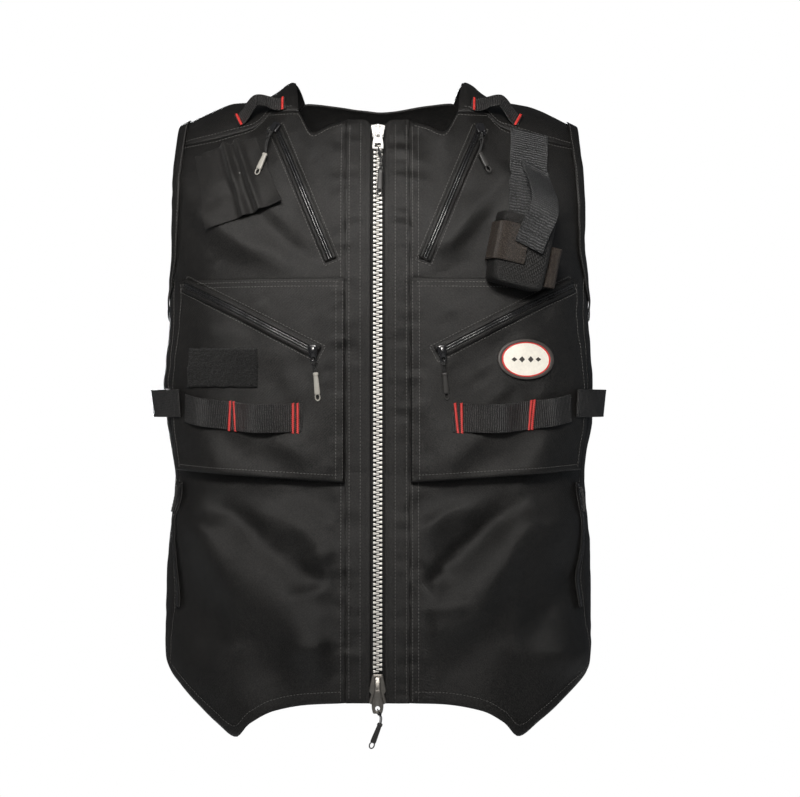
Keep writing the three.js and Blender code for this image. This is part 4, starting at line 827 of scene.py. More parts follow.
# The cargo pockets are dishes of twill that lie flush at their top seam and stand proud at the
# foot, where the folded bellows gives them their depth.
pocket_depth = 20
pocket_wall = 1.2
seat_gap = 0.9
pocket_inner = placket_half + 2.2
pocket_reach = reach_of(np.radians(66))


# each row as for the folds of the body
pocket_folds = [
    (0.42, 0.555, 0.2, 0.6, 0.05, 0.28),
    (0.62, 0.56, 0.36, 0.61, 0.06, -0.2),
    (0.8, 0.54, 0.66, 0.6, 0.07, 0.25),
    (0.32, 0.42, 0.2, 0.5, 0.05, 0.2),
    (0.56, 0.4, 0.34, 0.52, 0.06, -0.15),
]


def front_turn(x, z):
    """The turn and the height on the front of a place given by x and its true level."""
    turn = turn_of(np.abs(x) / width_at(z))
    return turn, height_of(z, reach_of(turn))


def front_point(x, z, lift=0.0):
    """A place on the front of the vest, given by x, its level, and its lift over the cloth."""
    x, z = np.broadcast_arrays(np.asarray(x, float), np.asarray(z, float))
    return cloth_point(*front_turn(x, z), np.where(x < 0, -1, 1), lift)


def front_normal(x, z):
    """The way out of the front at a place."""
    x, z = np.broadcast_arrays(np.asarray(x, float), np.asarray(z, float))
    return body_normal(*front_turn(x, z), np.where(x < 0, -1, 1))


def front_row(x, z, foot):
    """A line on the front of the vest whose lift over the cloth is foot(x, z), as points and ways out."""
    return front_point(x, z, foot(x, z)), front_normal(x, z)


def pocket_lift(x, z):
    """The lift of the pocket's face: it grows from the top seam to the foot, and less near its sides."""
    down = np.clip((-z - pocket_top) / (pocket_bottom - pocket_top), 0, 1)
    across = np.clip((np.abs(x) - pocket_inner) / (pocket_reach * width_at(z) - pocket_inner), 0, 1)
    roll = lerp(0.35, 1, ease(across, 0, 0.25)) * lerp(1, 0.5, ease(across, 0.7, 1))
    soft = 0.7 * soft_noise(x, z, 34, 11) + 0.22 * soft_noise(x, z, 12, 12) + fold_height * ridges(np.abs(x), z, pocket_folds)
    return seat_gap + 0.3 + pocket_wall + pocket_depth * 0.8 * down ** 1.2 * roll + soft * ease(down, 0, 0.15)


for side, hand in hands:
    # each row of the edges: how far in from the outline in mm, and the share of the full lift
    edge_in = np.array([0, 0.15, 0.4, 0.8, 1.5, 2.8, 4.5])
    edge_up = np.array([0, 0.4, 0.68, 0.86, 0.95, 0.99, 1])
    inner_part = np.linspace(0, 1, 86)[1:-1]
    s = np.concatenate([np.zeros(7), inner_part, np.ones(7)])
    in_x = np.concatenate([edge_in, np.full(84, edge_in[-1]), edge_in[::-1]])
    up_x = np.concatenate([edge_up, np.ones(84), edge_up[::-1]])
    t = np.concatenate([np.zeros(7), np.linspace(0, 1, 90)[1:]])
    in_z = np.concatenate([edge_in, np.full(89, edge_in[-1])])
    up_z = np.concatenate([edge_up, np.ones(89)])
    bottom = lerp(pocket_bottom - 4, pocket_bottom - 14, s)[None, :]
    z = -lerp(bottom - in_z[:, None], pocket_top, t[:, None])
    x_in = pocket_inner + in_x[None, :]
    x_out = pocket_reach * width_at(z) - in_x[None, :]
    x = hand * lerp(x_in, x_out, s[None, :])
    foot = seat_gap + 0.3
    lift = foot + (pocket_lift(x, z) - foot) * np.minimum(up_x[None, :], up_z[:, None])
    piece = cloth_piece(f"cargo_pocket_{side}_cloth", front_point(x, z, lift), front_normal(x, z), pocket_wall)
    dress(piece, shell_cloth, "shell_cloth", f"cargo_pocket_{side}")
    rows = []
    for level in (pocket_top + 3.5, pocket_top + 8):
        x = np.linspace(pocket_inner + 5, pocket_reach * width_at(-level) - 4, 90)
        rows.append(front_row(hand * x, np.full(90, -float(level)), pocket_lift))
    for x in (pocket_inner + 1.6, pocket_inner + 7.8):
        level = -np.linspace(pocket_top + 3, pocket_bottom - 8, 120)
        rows.append(front_row(np.full(120, hand * x), level, pocket_lift))
    level = -np.linspace(pocket_top + 3, pocket_bottom - 18, 120)
    rows.append(front_row(hand * (pocket_reach * width_at(level) - 5), level, pocket_lift))
    s = np.linspace(0.04, 0.97, 90)
    level = -(lerp(pocket_bottom - 4, pocket_bottom - 14, s) - 7)
    rows.append(front_row(hand * lerp(pocket_inner, pocket_reach * width_at(level), s), level, pocket_lift))
    sewn(f"cargo_pocket_{side}_stitches", rows)

# Down the front, each side ends in a placket: a folded facing of the twill, rounded at the neck.
hem_level = -body_length * 0.942
zip_top = -front_neck_drop * 0.8
placket_wall = 2.3
for side, hand in hands:
    z = lerp(hem_level, zip_top, close_to_edges(260, 0.6))[:, None]
    # each row: x, and the lift of the cloth there, round the placket's section
    section = np.array([
        (6.5, -0.55), (6.7, 0.05), (7.3, 0.45), (8.2, 0.58), (10.2, 0.5), (10.9, 0.3), (11.6, 0.5), (14.4, 0.6),
        (15.8, 0.55), (16.5, 0.3), (17.2, 0.55), (19, 0.6), (23, 0.6), (26.4, 0.55), (27, 0.35), (27.6, 0.55),
        (29.2, 0.55), (29.8, 0.4), (30, 0), (29.4, -0.6), (28.7, -1.2), (28.7, -2.7), (31.4, -2.8), (31.4, -3.1), (24, -3), (17, -1.8), (9, -1.72), (7, -1.4),
    ])
    from_top = zip_top - z
    corner = 9 * (1 - np.sqrt(np.clip(1 - (1 - np.clip(from_top / 9, 0, 1)) ** 2, 0, 1)))
    x = section[None, :, 0] + corner * np.clip((17 - section[None, :, 0]) / 10.5, 0, 1)
    lift = np.broadcast_to(section[None, :, 1], x.shape)
    piece = loft(f"placket_{side}_cloth", front_point(hand * x, np.broadcast_to(z, x.shape), lift))
    dress(piece, shell_cloth, "shell_cloth", f"placket_{side}")
    level = np.linspace(hem_level + 4, zip_top - 5, 300)
    rows = [front_row(np.full(300, hand * x), level, lambda x, z: lift_here) for x, lift_here in ((16.5, 0.32), (27, 0.37))]
    sewn(f"placket_{side}_stitches", rows)

# The main zip: black woven tapes with metal teeth clamped on their edges, closed from the foot.
tape_reach, tape_wall = 15, 0.8
chain_width, chain_wall, chain_sink = 9, 3.2, 1.2
tooth_pitch = 4.3
zip_tape = woven_material("zip_tape", (0.006, 0.006, 0.006), (0.016, 0.016, 0.016), 1400, 0.8, 0.0)


def metal_material(name, color, dark, roughness, metallic=1.0):
    """Cast metal with a duller tone in its pits and fine scratches in its gloss. With metallic below one, part of its
    pale colour is diffuse: painted reflection in place of the metal's mirror shine.
    """
    material = bpy.data.materials.new(name)
    material.use_nodes = True
    tree = material.node_tree
    shader = tree.nodes["Principled BSDF"]
    shader.inputs["Metallic"].default_value = metallic
    solid = tree.nodes.new("ShaderNodeTexCoord")
    worn = tree.nodes.new("ShaderNodeGroup")
    worn.node_tree = wear
    worn.inputs["Patch size"].default_value = 180
    tree.links.new(solid.outputs["Object"], worn.inputs["Vector"])
    tree.links.new(mixed(tree, worn.outputs["Patches"], dark, color), shader.inputs["Base Color"])
    rough = worked(tree, "MULTIPLY_ADD", worn.outputs["Grain"], 0.25, roughness - 0.1)
    tree.links.new(rough, shader.inputs["Roughness"])
    bump = tree.nodes.new("ShaderNodeBump")
    bump.inputs["Strength"].default_value = 0.12
    bump.inputs["Distance"].default_value = 0.0002
    tree.links.new(worn.outputs["Grain"], bump.inputs["Height"])
    tree.links.new(bump.outputs[0], shader.inputs["Normal"])
    return material


# The teeth's silver is only about a third metallic: most of its pale tone is diffuse colour, painted reflection
# standing in for the polished metal's shine.
silver_metal = metal_material("silver_metal", (0.92, 0.90, 0.86), (0.7, 0.68, 0.64), 0.3, 0.35)
for side, hand in hands:
    z = np.linspace(hem_level + 3, zip_top - 3, 160)[:, None]
    top = placket_wall / 4 - placket_wall - 0.5
    # each row: x, lift
    section = np.array([(0.02, top - 0.1), (0.3, top), (8, top), (14.8, top), (15, top - tape_wall), (0.02, top - tape_wall)])
    x = np.broadcast_to(section[None, :, 0], (160, 6))
    piece = loft(f"main_zip_tape_{side}_woven", front_point(hand * x, np.broadcast_to(z, x.shape), section[None, :, 1]))
    dress(piece, zip_tape, "zip_tape", f"main_zip_tape_{side}")


def front_axes(x, z, spin=0.0):
    """Across, up and out directions on the front at places, turned by spin."""
    out = front_normal(x, z)
    up = unit(np.array([0, 0, 1.0]) - out * out[..., 2:3])
    across = np.cross(up, out)
    c, s = np.cos(spin), np.sin(spin)
    c, s = np.broadcast_to(c, out.shape[:-1])[..., None], np.broadcast_to(s, out.shape[:-1])[..., None]
    return np.stack([across * c + up * s, up * c - across * s, out], -2)


chain_low, chain_high = hem_level + 10.9 + 17.6, -62 - 7.1
tooth_rings = [(-1.4, 0.4, 0.6), (-1.1, 0.75, 0.95), (0.3, 0.75, 1.05), (1.6, 0.95, 1.35), (3.0, 1.4, 1.6), (3.9, 1.5, 1.55), (4.25, 1.2, 1.2)]
tooth, tooth_faces = rounded_block(tooth_rings)
levels = np.arange(chain_low + 1.6, chain_high - 1.6, tooth_pitch / 2)
tooth_hand = np.where(np.arange(len(levels)) % 2 == 0, -1.0, 1.0)
axes = front_axes(np.full(len(levels), 0.001), levels)
axes[:, 0] *= tooth_hand[:, None]
axes[:, 1] *= tooth_hand[:, None]
origins = front_point(np.full(len(levels), 0.001), levels, 0.4) + axes[:, 0] * 0.05
chain_points, chain_faces = repeated(tooth, tooth_faces, origins, axes)
chain = put_mesh("main_zip_teeth", chain_points, chain_faces)
dress(chain, silver_metal, "silver_metal", "main_zip_chain")

# The main zip's sliders and tabs are cast metal with rounded edges. Each tab hangs from the bridge
# on its slider, with a round hole for its pull.
slider_width, slider_height = 14, 4.2
slider_back = placket_wall / 4 + 0.3
tab_wall = 1.7
tab_lift = slider_back + slider_height + 0.3
dull_metal = metal_material("dull_metal", (0.36, 0.34, 0.31), (0.17, 0.16, 0.145), 0.38)


def even_outline(half, count=64):
    """A closed outline from the right half of its corners, mirrored, with evenly spaced points on its sides."""
    half = np.array(half, float)
    corners = np.concatenate([half, half[::-1] * (-1, 1)])
    closed = np.concatenate([corners, corners[:1]])
    gone = np.concatenate([[0], np.cumsum(np.linalg.norm(np.diff(closed, axis=0), axis=1))])
    at = np.linspace(0, gone[-1], count, endpoint=False)
    return np.stack([np.interp(at, gone, closed[:, 0]), np.interp(at, gone, closed[:, 1])], -1)


def softened(outline, times=2):
    """The outline with each point moved halfway to the middle of its neighbours, so that corners round off."""
    for _ in range(times):
        outline = outline / 2 + (np.roll(outline, 1, 0) + np.roll(outline, -1, 0)) / 4
    return outline


def shrunk(outline, inset):
    """The outline moved inwards by inset, along the mean of the normals beside each point."""
    along = unit(np.roll(outline, -1, 0) - np.roll(outline, 1, 0))
    inwards = np.stack([-along[:, 1], along[:, 0]], -1)
    area = np.sum(outline[:, 0] * np.roll(outline[:, 1], -1) - np.roll(outline[:, 0], -1) * outline[:, 1])
    return outline + inwards * inset * np.sign(area)


def cast_plate(outline, low, high, bevel, crown=0.0):
    """Rings of a plate with rounded edges: quarter circles of radius bevel at its foot and head, and a crowned top."""
    angle = np.linspace(0, np.pi / 2, 4)
    rings = [(bevel * (1 - np.sin(a)), low + bevel * (1 - np.cos(a))) for a in angle]
    rings += [(bevel * (1 - np.cos(a)), high - bevel * (1 - np.sin(a))) for a in angle]
    rings += [(bevel + 1.2, high + crown * 0.7), (bevel + 2.0, high + crown)] if crown else []
    return np.stack([np.concatenate([shrunk(outline, d), np.full((len(outline), 1), h)], 1) for d, h in rings])


def holed_plate(outline, hole, size, low, high, bevel, power=2):
    """Rings of a plate with a hole, carried from the hole's wall over the face to the outer edge and back.

    The hole reaches size to each side of its middle; power 2 makes it oval, and more makes it squarer.
    """
    spread = (outline - np.array(hole)) / size
    spread /= np.sum(np.abs(spread) ** power, 1, keepdims=True) ** (1 / power)
    eye = hole + spread * size
    eye_wide = hole + spread * (np.array(size) + bevel)
    inner = shrunk(outline, bevel)
    rows = [(eye, high - bevel), (eye_wide, high), (lerp(eye_wide, inner, 0.5), high), (inner, high),
            (outline, high - bevel), (outline, low + bevel), (inner, low), (eye_wide, low), (eye, low + bevel)]
    return np.stack([np.concatenate([o, np.full((len(o), 1), h)], 1) for o, h in rows])


def seated(rings, x, z, lift, spin=0.0):
    """Rings built flat (x across, y up, z out) set on the front at a place and turned by spin."""
    axes = front_axes(np.array(x + 0.001), np.array(float(z)), spin)
    return front_point(x + 0.001, z, lift) + rings @ axes


top_level, bottom_level = -62, hem_level + 10.9
top_body = softened(even_outline([(2.8, 6.5), (7.0, 5.4), (6.8, 4.2), (5.6, 0), (5.4, -6.3), (4.6, -6.7)]))
top_parts = [
    (cast_plate(top_body, 0, 1.2, 0.4), 0),
    (holed_plate(top_body, (0, 1.4), (2.4, 4.3), 2.7, 4.0, 0.35, 5), True),
    (cast_plate(softened(even_outline([(1.4, 6.0), (1.4, -1)])), 1.0, 3.0, 0.3), 0),
]
bottom_body = softened(even_outline([(4.6, 17), (5.2, 15.5), (8.0, 2.2), (7.6, 0.2), (5.9, -0.8), (8.2, -8.3), (7.4, -10.8), (3, -11.2)], 80))
bottom_parts = [
    (cast_plate(bottom_body, 0, 1.3, 0.4), 0),
    (cast_plate(bottom_body, 2.6, 4.0, 0.5, 0.2), 0),
    (cast_plate(softened(even_outline([(1.6, 14), (1.6, -6)])), 1.0, 3.0, 0.3), 0),
]


def joined_lofts(name, parts, looped=False):
    """One mesh of several closed lofts. Each part: its rings, and whether its last ring joins its first."""
    pieces = [loft(f"{name}_part", rings, looped=loops) for rings, loops in parts]
    for piece in pieces:
        piece.select_set(True)
    with bpy.context.temp_override(active_object=pieces[0], selected_editable_objects=pieces):
        bpy.ops.object.join()
    pieces[0].name = pieces[0].data.name = name
    return pieces[0]


def placed(parts, x, z, lift, spin=0.0):
    """Each part's rings set on the front."""
    return [(seated(rings, x, z, lift, spin), loops) for rings, loops in parts]


# The top slider and its tab are nearly all diffuse near-white: painted reflection in place of the shine of polished
# metal.
painted_reflection_metal = metal_material("painted_reflection_metal", (0.96, 0.95, 0.93), (0.9, 0.89, 0.86), 0.2, 0.05)
piece = joined_lofts("main_zip_slider_top_cast", placed(top_parts, 0, top_level, slider_back))
dress(piece, painted_reflection_metal, "silver_metal", "main_zip_slider_top")
piece = joined_lofts("main_zip_slider_bottom_cast", placed(bottom_parts, 0, bottom_level, slider_back))
dress(piece, dull_metal, "dull_metal", "main_zip_slider_bottom")

top_collar = softened(even_outline([(2.9, 6.4), (3.6, 5.8), (4.2, -2), (4.4, -4.4)], 56), 1)
top_tab = softened(even_outline([(4.3, -3.4), (4.6, -6), (5.3, -13.0), (5.1, -15.6)], 64), 1)
top_tab_parts = [
    (holed_plate(top_collar, (0, 1.2), (2.3, 3.6), 0, tab_wall, 0.35, 4), True),
    (holed_plate(top_tab, (0, -11.6), (3.0, 2.7), 0, tab_wall, 0.35, 6), True),
    (cast_plate(softened(even_outline([(1.35, 13), (1.35, 0.8)])), -2.4, tab_wall + 0.6, 0.3), False),
]
piece = joined_lofts("main_zip_tab_top_cast", placed(top_tab_parts, 0, -69, tab_lift))
dress(piece, painted_reflection_metal, "silver_metal", "main_zip_tab_top")
bottom_tab = softened(even_outline([(2.3, 15), (2.8, 14), (2.9, 2), (5.6, -8), (5.5, -14), (4.3, -19.4)], 80), 1)
bottom_tab_parts = [
    (holed_plate(bottom_tab, (0, -14.5), (2.3, 2.3), 0, tab_wall, 0.4), True),
    (cast_plate(softened(even_outline([(2.6, 3), (2.9, -5)])), tab_wall - 0.2, tab_wall + 0.5, 0.25), False),
]
piece = joined_lofts("main_zip_tab_bottom_cast", placed(bottom_tab_parts, 0, bottom_level, tab_lift))
dress(piece, dull_metal, "dull_metal", "main_zip_tab_bottom")

# The slanted pocket zips: two folded welts of twill with a black nylon coil between them, sewn
# into the chest and into the face of each cargo pocket. The side pockets close with shorter ones.
zip_height = 1.8
chest_zip = ((98, -56), (44, -186), 12)
cargo_zip = ((184, -207), (55, -273), 13)
side_zip_levels, side_zip_turn = (-398, -520), np.radians(67.5)


coil_nylon = polymer_material("coil_nylon", (0.006, 0.006, 0.0065), 0.28, 0.3)
black_metal = polymer_material("black_enamel", (0.008, 0.008, 0.009), 0.2, 0.8, 0.05)


def strap_rings(points, feet, normals, profile):
    """A profile of (across, up) corners carried along a path, across = normal × direction of the feet."""
    along = unit(np.gradient(feet, axis=0))
    across = unit(np.cross(normals, along))
    profile = np.asarray(profile, float)
    return points[:, None] + across[:, None] * profile[None, :, :1] + normals[:, None] * profile[None, :, 1:]


def on_cloth(x, z):
    """The foot of what is sewn on the shell."""
    return np.full(np.broadcast(x, z).shape, seat_gap + 0.4)


def on_pocket(x, z):
    """The foot of what is sewn on a cargo pocket."""
    return pocket_lift(x, z) + seat_gap + 0.4


def welt_profile(width, height):
    """Half-round welts on both sides of a slot: (across, up) corners round the section."""
    half, slot = width / 2, width * 0.2
    return [
        (-half, 0), (half, 0), (half, height * 0.35), (half - 0.5, height * 0.62), (half * 0.72, height * 0.8),
        (half * 0.55, height * 0.98), (slot + 0.5, height), (slot + 0.1, height * 0.85), (slot, height * 0.3),
        (-slot, height * 0.3), (-slot - 0.1, height * 0.85), (-slot - 0.5, height), (-half * 0.55, height * 0.98),
        (-half * 0.72, height * 0.8), (-half + 0.5, height * 0.62), (-half, height * 0.35),
    ]


def coil(name, points, normals, height):
    """The zip's coil: two half-round rows beside each other, each swelling a little at every turn."""
    gone = run_lengths(points, 0)
    at = np.arange(1.0, gone[-1] - 1.0, 0.4)
    centres, outs = resampled(points, gone, at), unit(resampled(normals, gone, at))
    swell = 1 + 0.11 * np.cos(at * 2 * np.pi / 1.2)
    rows = []
    for side in (-1, 1):
        angle = np.arange(8) * np.pi / 4
        across = unit(np.cross(outs, unit(np.gradient(centres, axis=0))))
        middle = centres + across * side * 1.15 + outs * height
        ring = across[:, None] * (np.cos(angle) * 1.15)[None, :, None] + outs[:, None] * (np.sin(angle) * 0.75)[None, :, None]
        rows.append((middle[:, None] + ring * swell[:, None, None], False))
    return joined_lofts(name, rows)


def pocket_zip(name, line, width, height, node):
    """Welts and coil along a line of (points, feet, normals)."""
    points, feet, normals = line
    piece = loft(f"{name}_welts", strap_rings(points, feet, normals, welt_profile(width, height)))
    dress(piece, shell_cloth, "coil_zip", node)
    dress(coil(f"{name}_coil", points, normals, height * 0.5), coil_nylon, "coil_zip")


def front_line(start, end, hand, foot, count=70):
    """A straight line on the front from (x, z) to (x, z), as points, feet and normals."""
    t = np.linspace(0, 1, count)
    x, z = hand * lerp(start[0], end[0], t), lerp(start[1], end[1], t)
    points = front_point(x, z, foot(x, z))
    return points, points, front_normal(x, z)


for side, hand in hands:
    pocket_zip(f"chest_zip_{side}", front_line(*chest_zip[:2], hand, on_cloth), chest_zip[2], zip_height, f"chest_zip_{side}")
    pocket_zip(f"cargo_zip_{side}", front_line(*cargo_zip[:2], hand, on_pocket), cargo_zip[2], zip_height, f"cargo_zip_{side}")
    height = np.linspace(*side_zip_levels, 60)
    turn = np.full(60, side_zip_turn)
    points = cloth_point(turn, height, hand, seat_gap * 2)
    pocket_zip(f"side_zip_{side}", (points, points, body_normal(turn, height, hand)), 8, 1.4, f"side_zip_{side}")

for side, hand in hands:
    for part, (start, end, width), foot in (("chest", chest_zip, 0.0), ("cargo", cargo_zip, 1.0)):
        start, end = np.array(start, float), np.array(end, float)
        along = unit(end - start)
        beside = np.array([-along[1], along[0]]) * (width / 2 + 1.8)
        corners = [start - along * 2 + beside, end + along * 3 + beside, end + along * 3 - beside, start - along * 2 - beside]
        rows = []
        for a, b in zip(corners, corners[1:] + corners[:1]):
            spot = lerp(a, b, np.linspace(0, 1, 80)[:, None])
            rows.append(front_row(hand * spot[:, 0], spot[:, 1], lambda x, z: pocket_lift(x, z) if foot else 0 * x))
        sewn(f"{part}_zip_{side}_stitches", rows)

# Pulls: a small black slider on each pocket zip, a doubled cord through its tab, and a moulded grip
# that the cord's ends are set in, with a thumb loop below.
small_tab_lift = 4.6
grip_width, cord_width = 5.4, 2.0
pull_cord = woven_material("pull_cord", (0.008, 0.008, 0.008), (0.04, 0.04, 0.04), 2200, 0.6, 0.1, 0.4, 0)
grey_rubber = polymer_material("grey_rubber", (0.27, 0.26, 0.235), 0.5, 0, 0.12)
black_rubber = polymer_material("black_rubber", (0.022, 0.021, 0.02), 0.5, 0, 0.12)


def smooth_path(points, count):
    """A Catmull-Rom curve through points, sampled evenly along its length."""
    points = np.asarray(points, float)
    before = 2 * points[0] - points[1]
    after = 2 * points[-1] - points[-2]
    knots = np.concatenate([[before], points, [after]])
    t = np.linspace(0, 1, 24, endpoint=False)[:, None]
    spans = []
    for a, b, c, d in zip(knots, knots[1:], knots[2:], knots[3:]):
        spans.append(0.5 * (2 * b + (c - a) * t + (2 * a - 5 * b + 4 * c - d) * t ** 2 + (3 * b - a - 3 * c + d) * t ** 3))
    dense = np.concatenate(spans + [points[-1:]])
    gone = np.concatenate([[0], np.cumsum(np.linalg.norm(np.diff(dense, axis=0), axis=1))])
    at = np.linspace(0, gone[-1], count)
    return np.stack([np.interp(at, gone, dense[:, i]) for i in range(3)], -1)


def tube(path, radius, facing, sides=10):
    """Rings of a round cord along a path, square to it. facing: a direction that isn't along the path."""
    along = unit(np.gradient(path, axis=0))
    side = unit(np.cross(along, facing))
    other = np.cross(along, side)
    angle = np.arange(sides) * 2 * np.pi / sides
    radius = np.broadcast_to(radius, len(path))[:, None, None]
    return path[:, None] + radius * (side[:, None] * np.cos(angle)[None, :, None] + other[:, None] * np.sin(angle)[None, :, None])


def grip_parts(start, end, normal):
    """A tapered grip with rounded corners and a collar, and an oval loop below it."""
    along = unit(end - start)
    across = unit(np.cross(normal, along))
    out = np.cross(across, along)
    angle = np.arange(20) * 2 * np.pi / 20
    c, s = np.cos(angle), np.sin(angle)
    shape = np.stack([np.sign(c) * np.abs(c) ** 0.6, np.sign(s) * np.abs(s) ** 0.6], -1) / 2
    # each row: share along the grip, width and depth as shares
    rows = [(0, 0.55, 0.6), (0.01, 0.8, 0.85), (0.03, 0.93, 1), (0.1, 0.95, 1.05), (0.13, 0.9, 1), (0.15, 0.78, 0.85),
            (0.18, 0.8, 0.85), (0.4, 0.88, 0.9), (0.7, 0.97, 0.95), (0.92, 1.02, 0.95), (0.97, 0.98, 0.9), (1, 0.8, 0.7)]
    rings = np.stack([
        lerp(start, end, t) + across * shape[:, :1] * grip_width * w + out * shape[:, 1:] * grip_width * 0.62 * d
        for t, w, d in rows
    ])
    turn = np.linspace(0, 2 * np.pi, 32, endpoint=False)
    middle = end + along * 2.4
    ring_path = middle + across * (2.2 * np.sin(turn))[:, None] - along * (3.2 * np.cos(turn))[:, None]
    outwards = unit(across * np.sin(turn)[:, None] - along * np.cos(turn)[:, None])
    bead = np.arange(8) * np.pi / 4
    loop = ring_path[:, None] + 0.62 * (outwards[:, None] * np.cos(bead)[None, :, None] + out * np.sin(bead)[None, :, None])
    return [(rings, False), (loop, True)]


def pull(name, hole, lift, drift, start, end, base, material, slot):
    """The doubled cord and the grip of one zip. hole, start and end: (x, z), or (x, z, lift) on the front."""
    def at(x, z, height):
        return front_point(x, z, base + height)

    top, low = at(*start), at(*end)
    normal = front_normal(start[0], start[1])
    along = unit(low - top)
    way = unit(np.array([start[0] - hole[0], start[1] - hole[1]]))
    apart = unit(np.cross(normal, along)) * 0.62
    bend = at(lerp(hole[0], start[0], 0.6) + drift, lerp(hole[1], start[1], 0.6), lerp(lift + 2, start[2], 0.6))
    eye = at(hole[0] + way[0] * 0.6, hole[1] + way[1] * 0.6, lift + 1.9)
    below = at(hole[0] + way[0] * 1.6, hole[1] + way[1] * 1.6, lift - 1.4)
    foot = top - along * 0.3
    strand = [foot + apart, bend + apart * 1.2, lerp(bend, eye, 0.6) + apart, eye, below, lerp(bend, below, 0.6) - apart,
              bend - apart * 1.2, foot - apart]
    path = smooth_path(strand, 60)
    knot_turn = np.linspace(0, 2 * np.pi * 1.75, 40)
    knot_middle = lerp(bend, eye, 0.45)
    knot_axis = unit(bend - eye)
    knot_side = unit(np.cross(knot_axis, normal))
    knot_out = np.cross(knot_side, knot_axis)
    knot = knot_middle + 1.5 * (knot_side * np.cos(knot_turn)[:, None] + knot_out * np.sin(knot_turn)[:, None])
    knot = knot + knot_axis * (np.linspace(-1, 1, 40) * 1.1)[:, None]
    cord = joined_lofts(f"{name}_cord_loop", [(tube(path, 0.55, normal, 8), False), (tube(knot, 0.5, knot_axis, 8), False)])
    dress(cord, pull_cord, "pull_cord", f"{name}_cord")
    grip = joined_lofts(f"{name}_grip_moulded", grip_parts(top, low, normal))
    dress(grip, material, slot, f"{name}_grip")


pull("main_pull_top", (0.001, -69 + 12.5 - 24), tab_lift + tab_wall / 2, 1.5, (2.6, -102, 5.5), (1.8, -121, 5), 0.0,
     black_rubber, "black_grip")
pull("main_pull_bottom", (0.001, bottom_level - 14.5), tab_lift + tab_wall / 2, 1.5, (2.6, bottom_level - 29, 3),
     (-4.6, bottom_level - 48, 1), 0.0, black_rubber, "black_grip")

small_body = softened(even_outline([(2.2, 5.6), (4.4, 4.6), (4.5, 2.5), (4.0, -3), (3.0, -5.6)], 40))
small_post = softened(even_outline([(1.2, 3.4), (1.2, -1.8)], 24), 1)
small_tab = softened(even_outline([(1.7, 4), (2.3, 3), (3.1, -7), (2.4, -10.5)], 48), 1)
small_parts = [
    (cast_plate(small_body, 0, 3.2, 0.8, 0.3), False),
    (cast_plate(small_post, 2.6, small_tab_lift + 0.6, 0.3), False),
    (holed_plate(small_tab, (0, -7.3), (1.6, 1.6), small_tab_lift, small_tab_lift + 1.2, 0.3), True),
]
# each row: the part, its zip, the slider's share along it, its seat, and for each side the pull's start and
# end as x outwards, z and lift, the cord's drift, and the grip's rubber and slot
pulls = (
    ("chest", chest_zip, 0.03, on_cloth, 1, {
        "right": ((105, -87, 6), (112, -101, 4.5), 1, grey_rubber, "grey_grip"),
        "left": ((95, -86, 6), (102.5, -99, 4.5), 1, black_rubber, "black_grip"),
    }),
    ("cargo", cargo_zip, 0.965, on_pocket, -1, {
        "right": ((57, -291, 5), (55.5, -312, 4.2), -1, grey_rubber, "grey_grip"),
        "left": ((61.5, -291, 5), (63.5, -311, 4.2), 1, black_rubber, "black_grip"),
    }),
)
slider_clear = zip_height + 0.5
for side, hand in hands:
    for part, (start, end, width), at, foot, sign, rows in pulls:
        top, low, drift, material, slot = rows[side]
        x, z = lerp(start[0], end[0], at), lerp(start[1], end[1], at)
        to_grip = np.arctan2(hand * (top[0] - x), z - top[1])
        base = float(foot(x, z))
        piece = joined_lofts(f"{part}_zip_slider_{side}_cast", placed(small_parts, hand * x, z, base + slider_clear, to_grip))
        dress(piece, black_metal, "black_metal", f"{part}_zip_slider_{side}")
        hole = (hand * x + np.sin(to_grip) * 7, z - np.cos(to_grip) * 7)
        pull(f"{part}_pull_{side}", hole, slider_clear + small_tab_lift + 0.6, drift * hand * sign,
             (hand * top[0], *top[1:]), (hand * low[0], *low[1:]), base, material, slot)
for side, hand in hands:
    rows = [(0.04, 0, 5.4), (0.14, 0.4, 6.2), (0.24, -0.6, 5.4)]
    points = [cloth_point(side_zip_turn + np.radians(turned), lerp(*side_zip_levels, share), hand, lift) for share, turned, lift in rows]
    path = smooth_path(points, 30)
    piece = loft(f"side_pull_{side}_cord", tube(path, 1.5 + 0.12 * np.sin(np.arange(30) * 1.6), np.array([hand, 0, 0.0]), 12))
    dress(piece, pull_cord, "pull_cord", f"side_pull_{side}")

# Webbing: two loops of 25 mm nylon across each cargo pocket, one long strap round each side, and a
# short loop on each shoulder; the pocket loops and the shoulder loops are sewn down with red tacks.
webbing_width, webbing_wall = 27, 1.5
tack_inner, tack_middle, strap_outer, strap_level = 74, 135, 177, 334
loop_bulge = 9


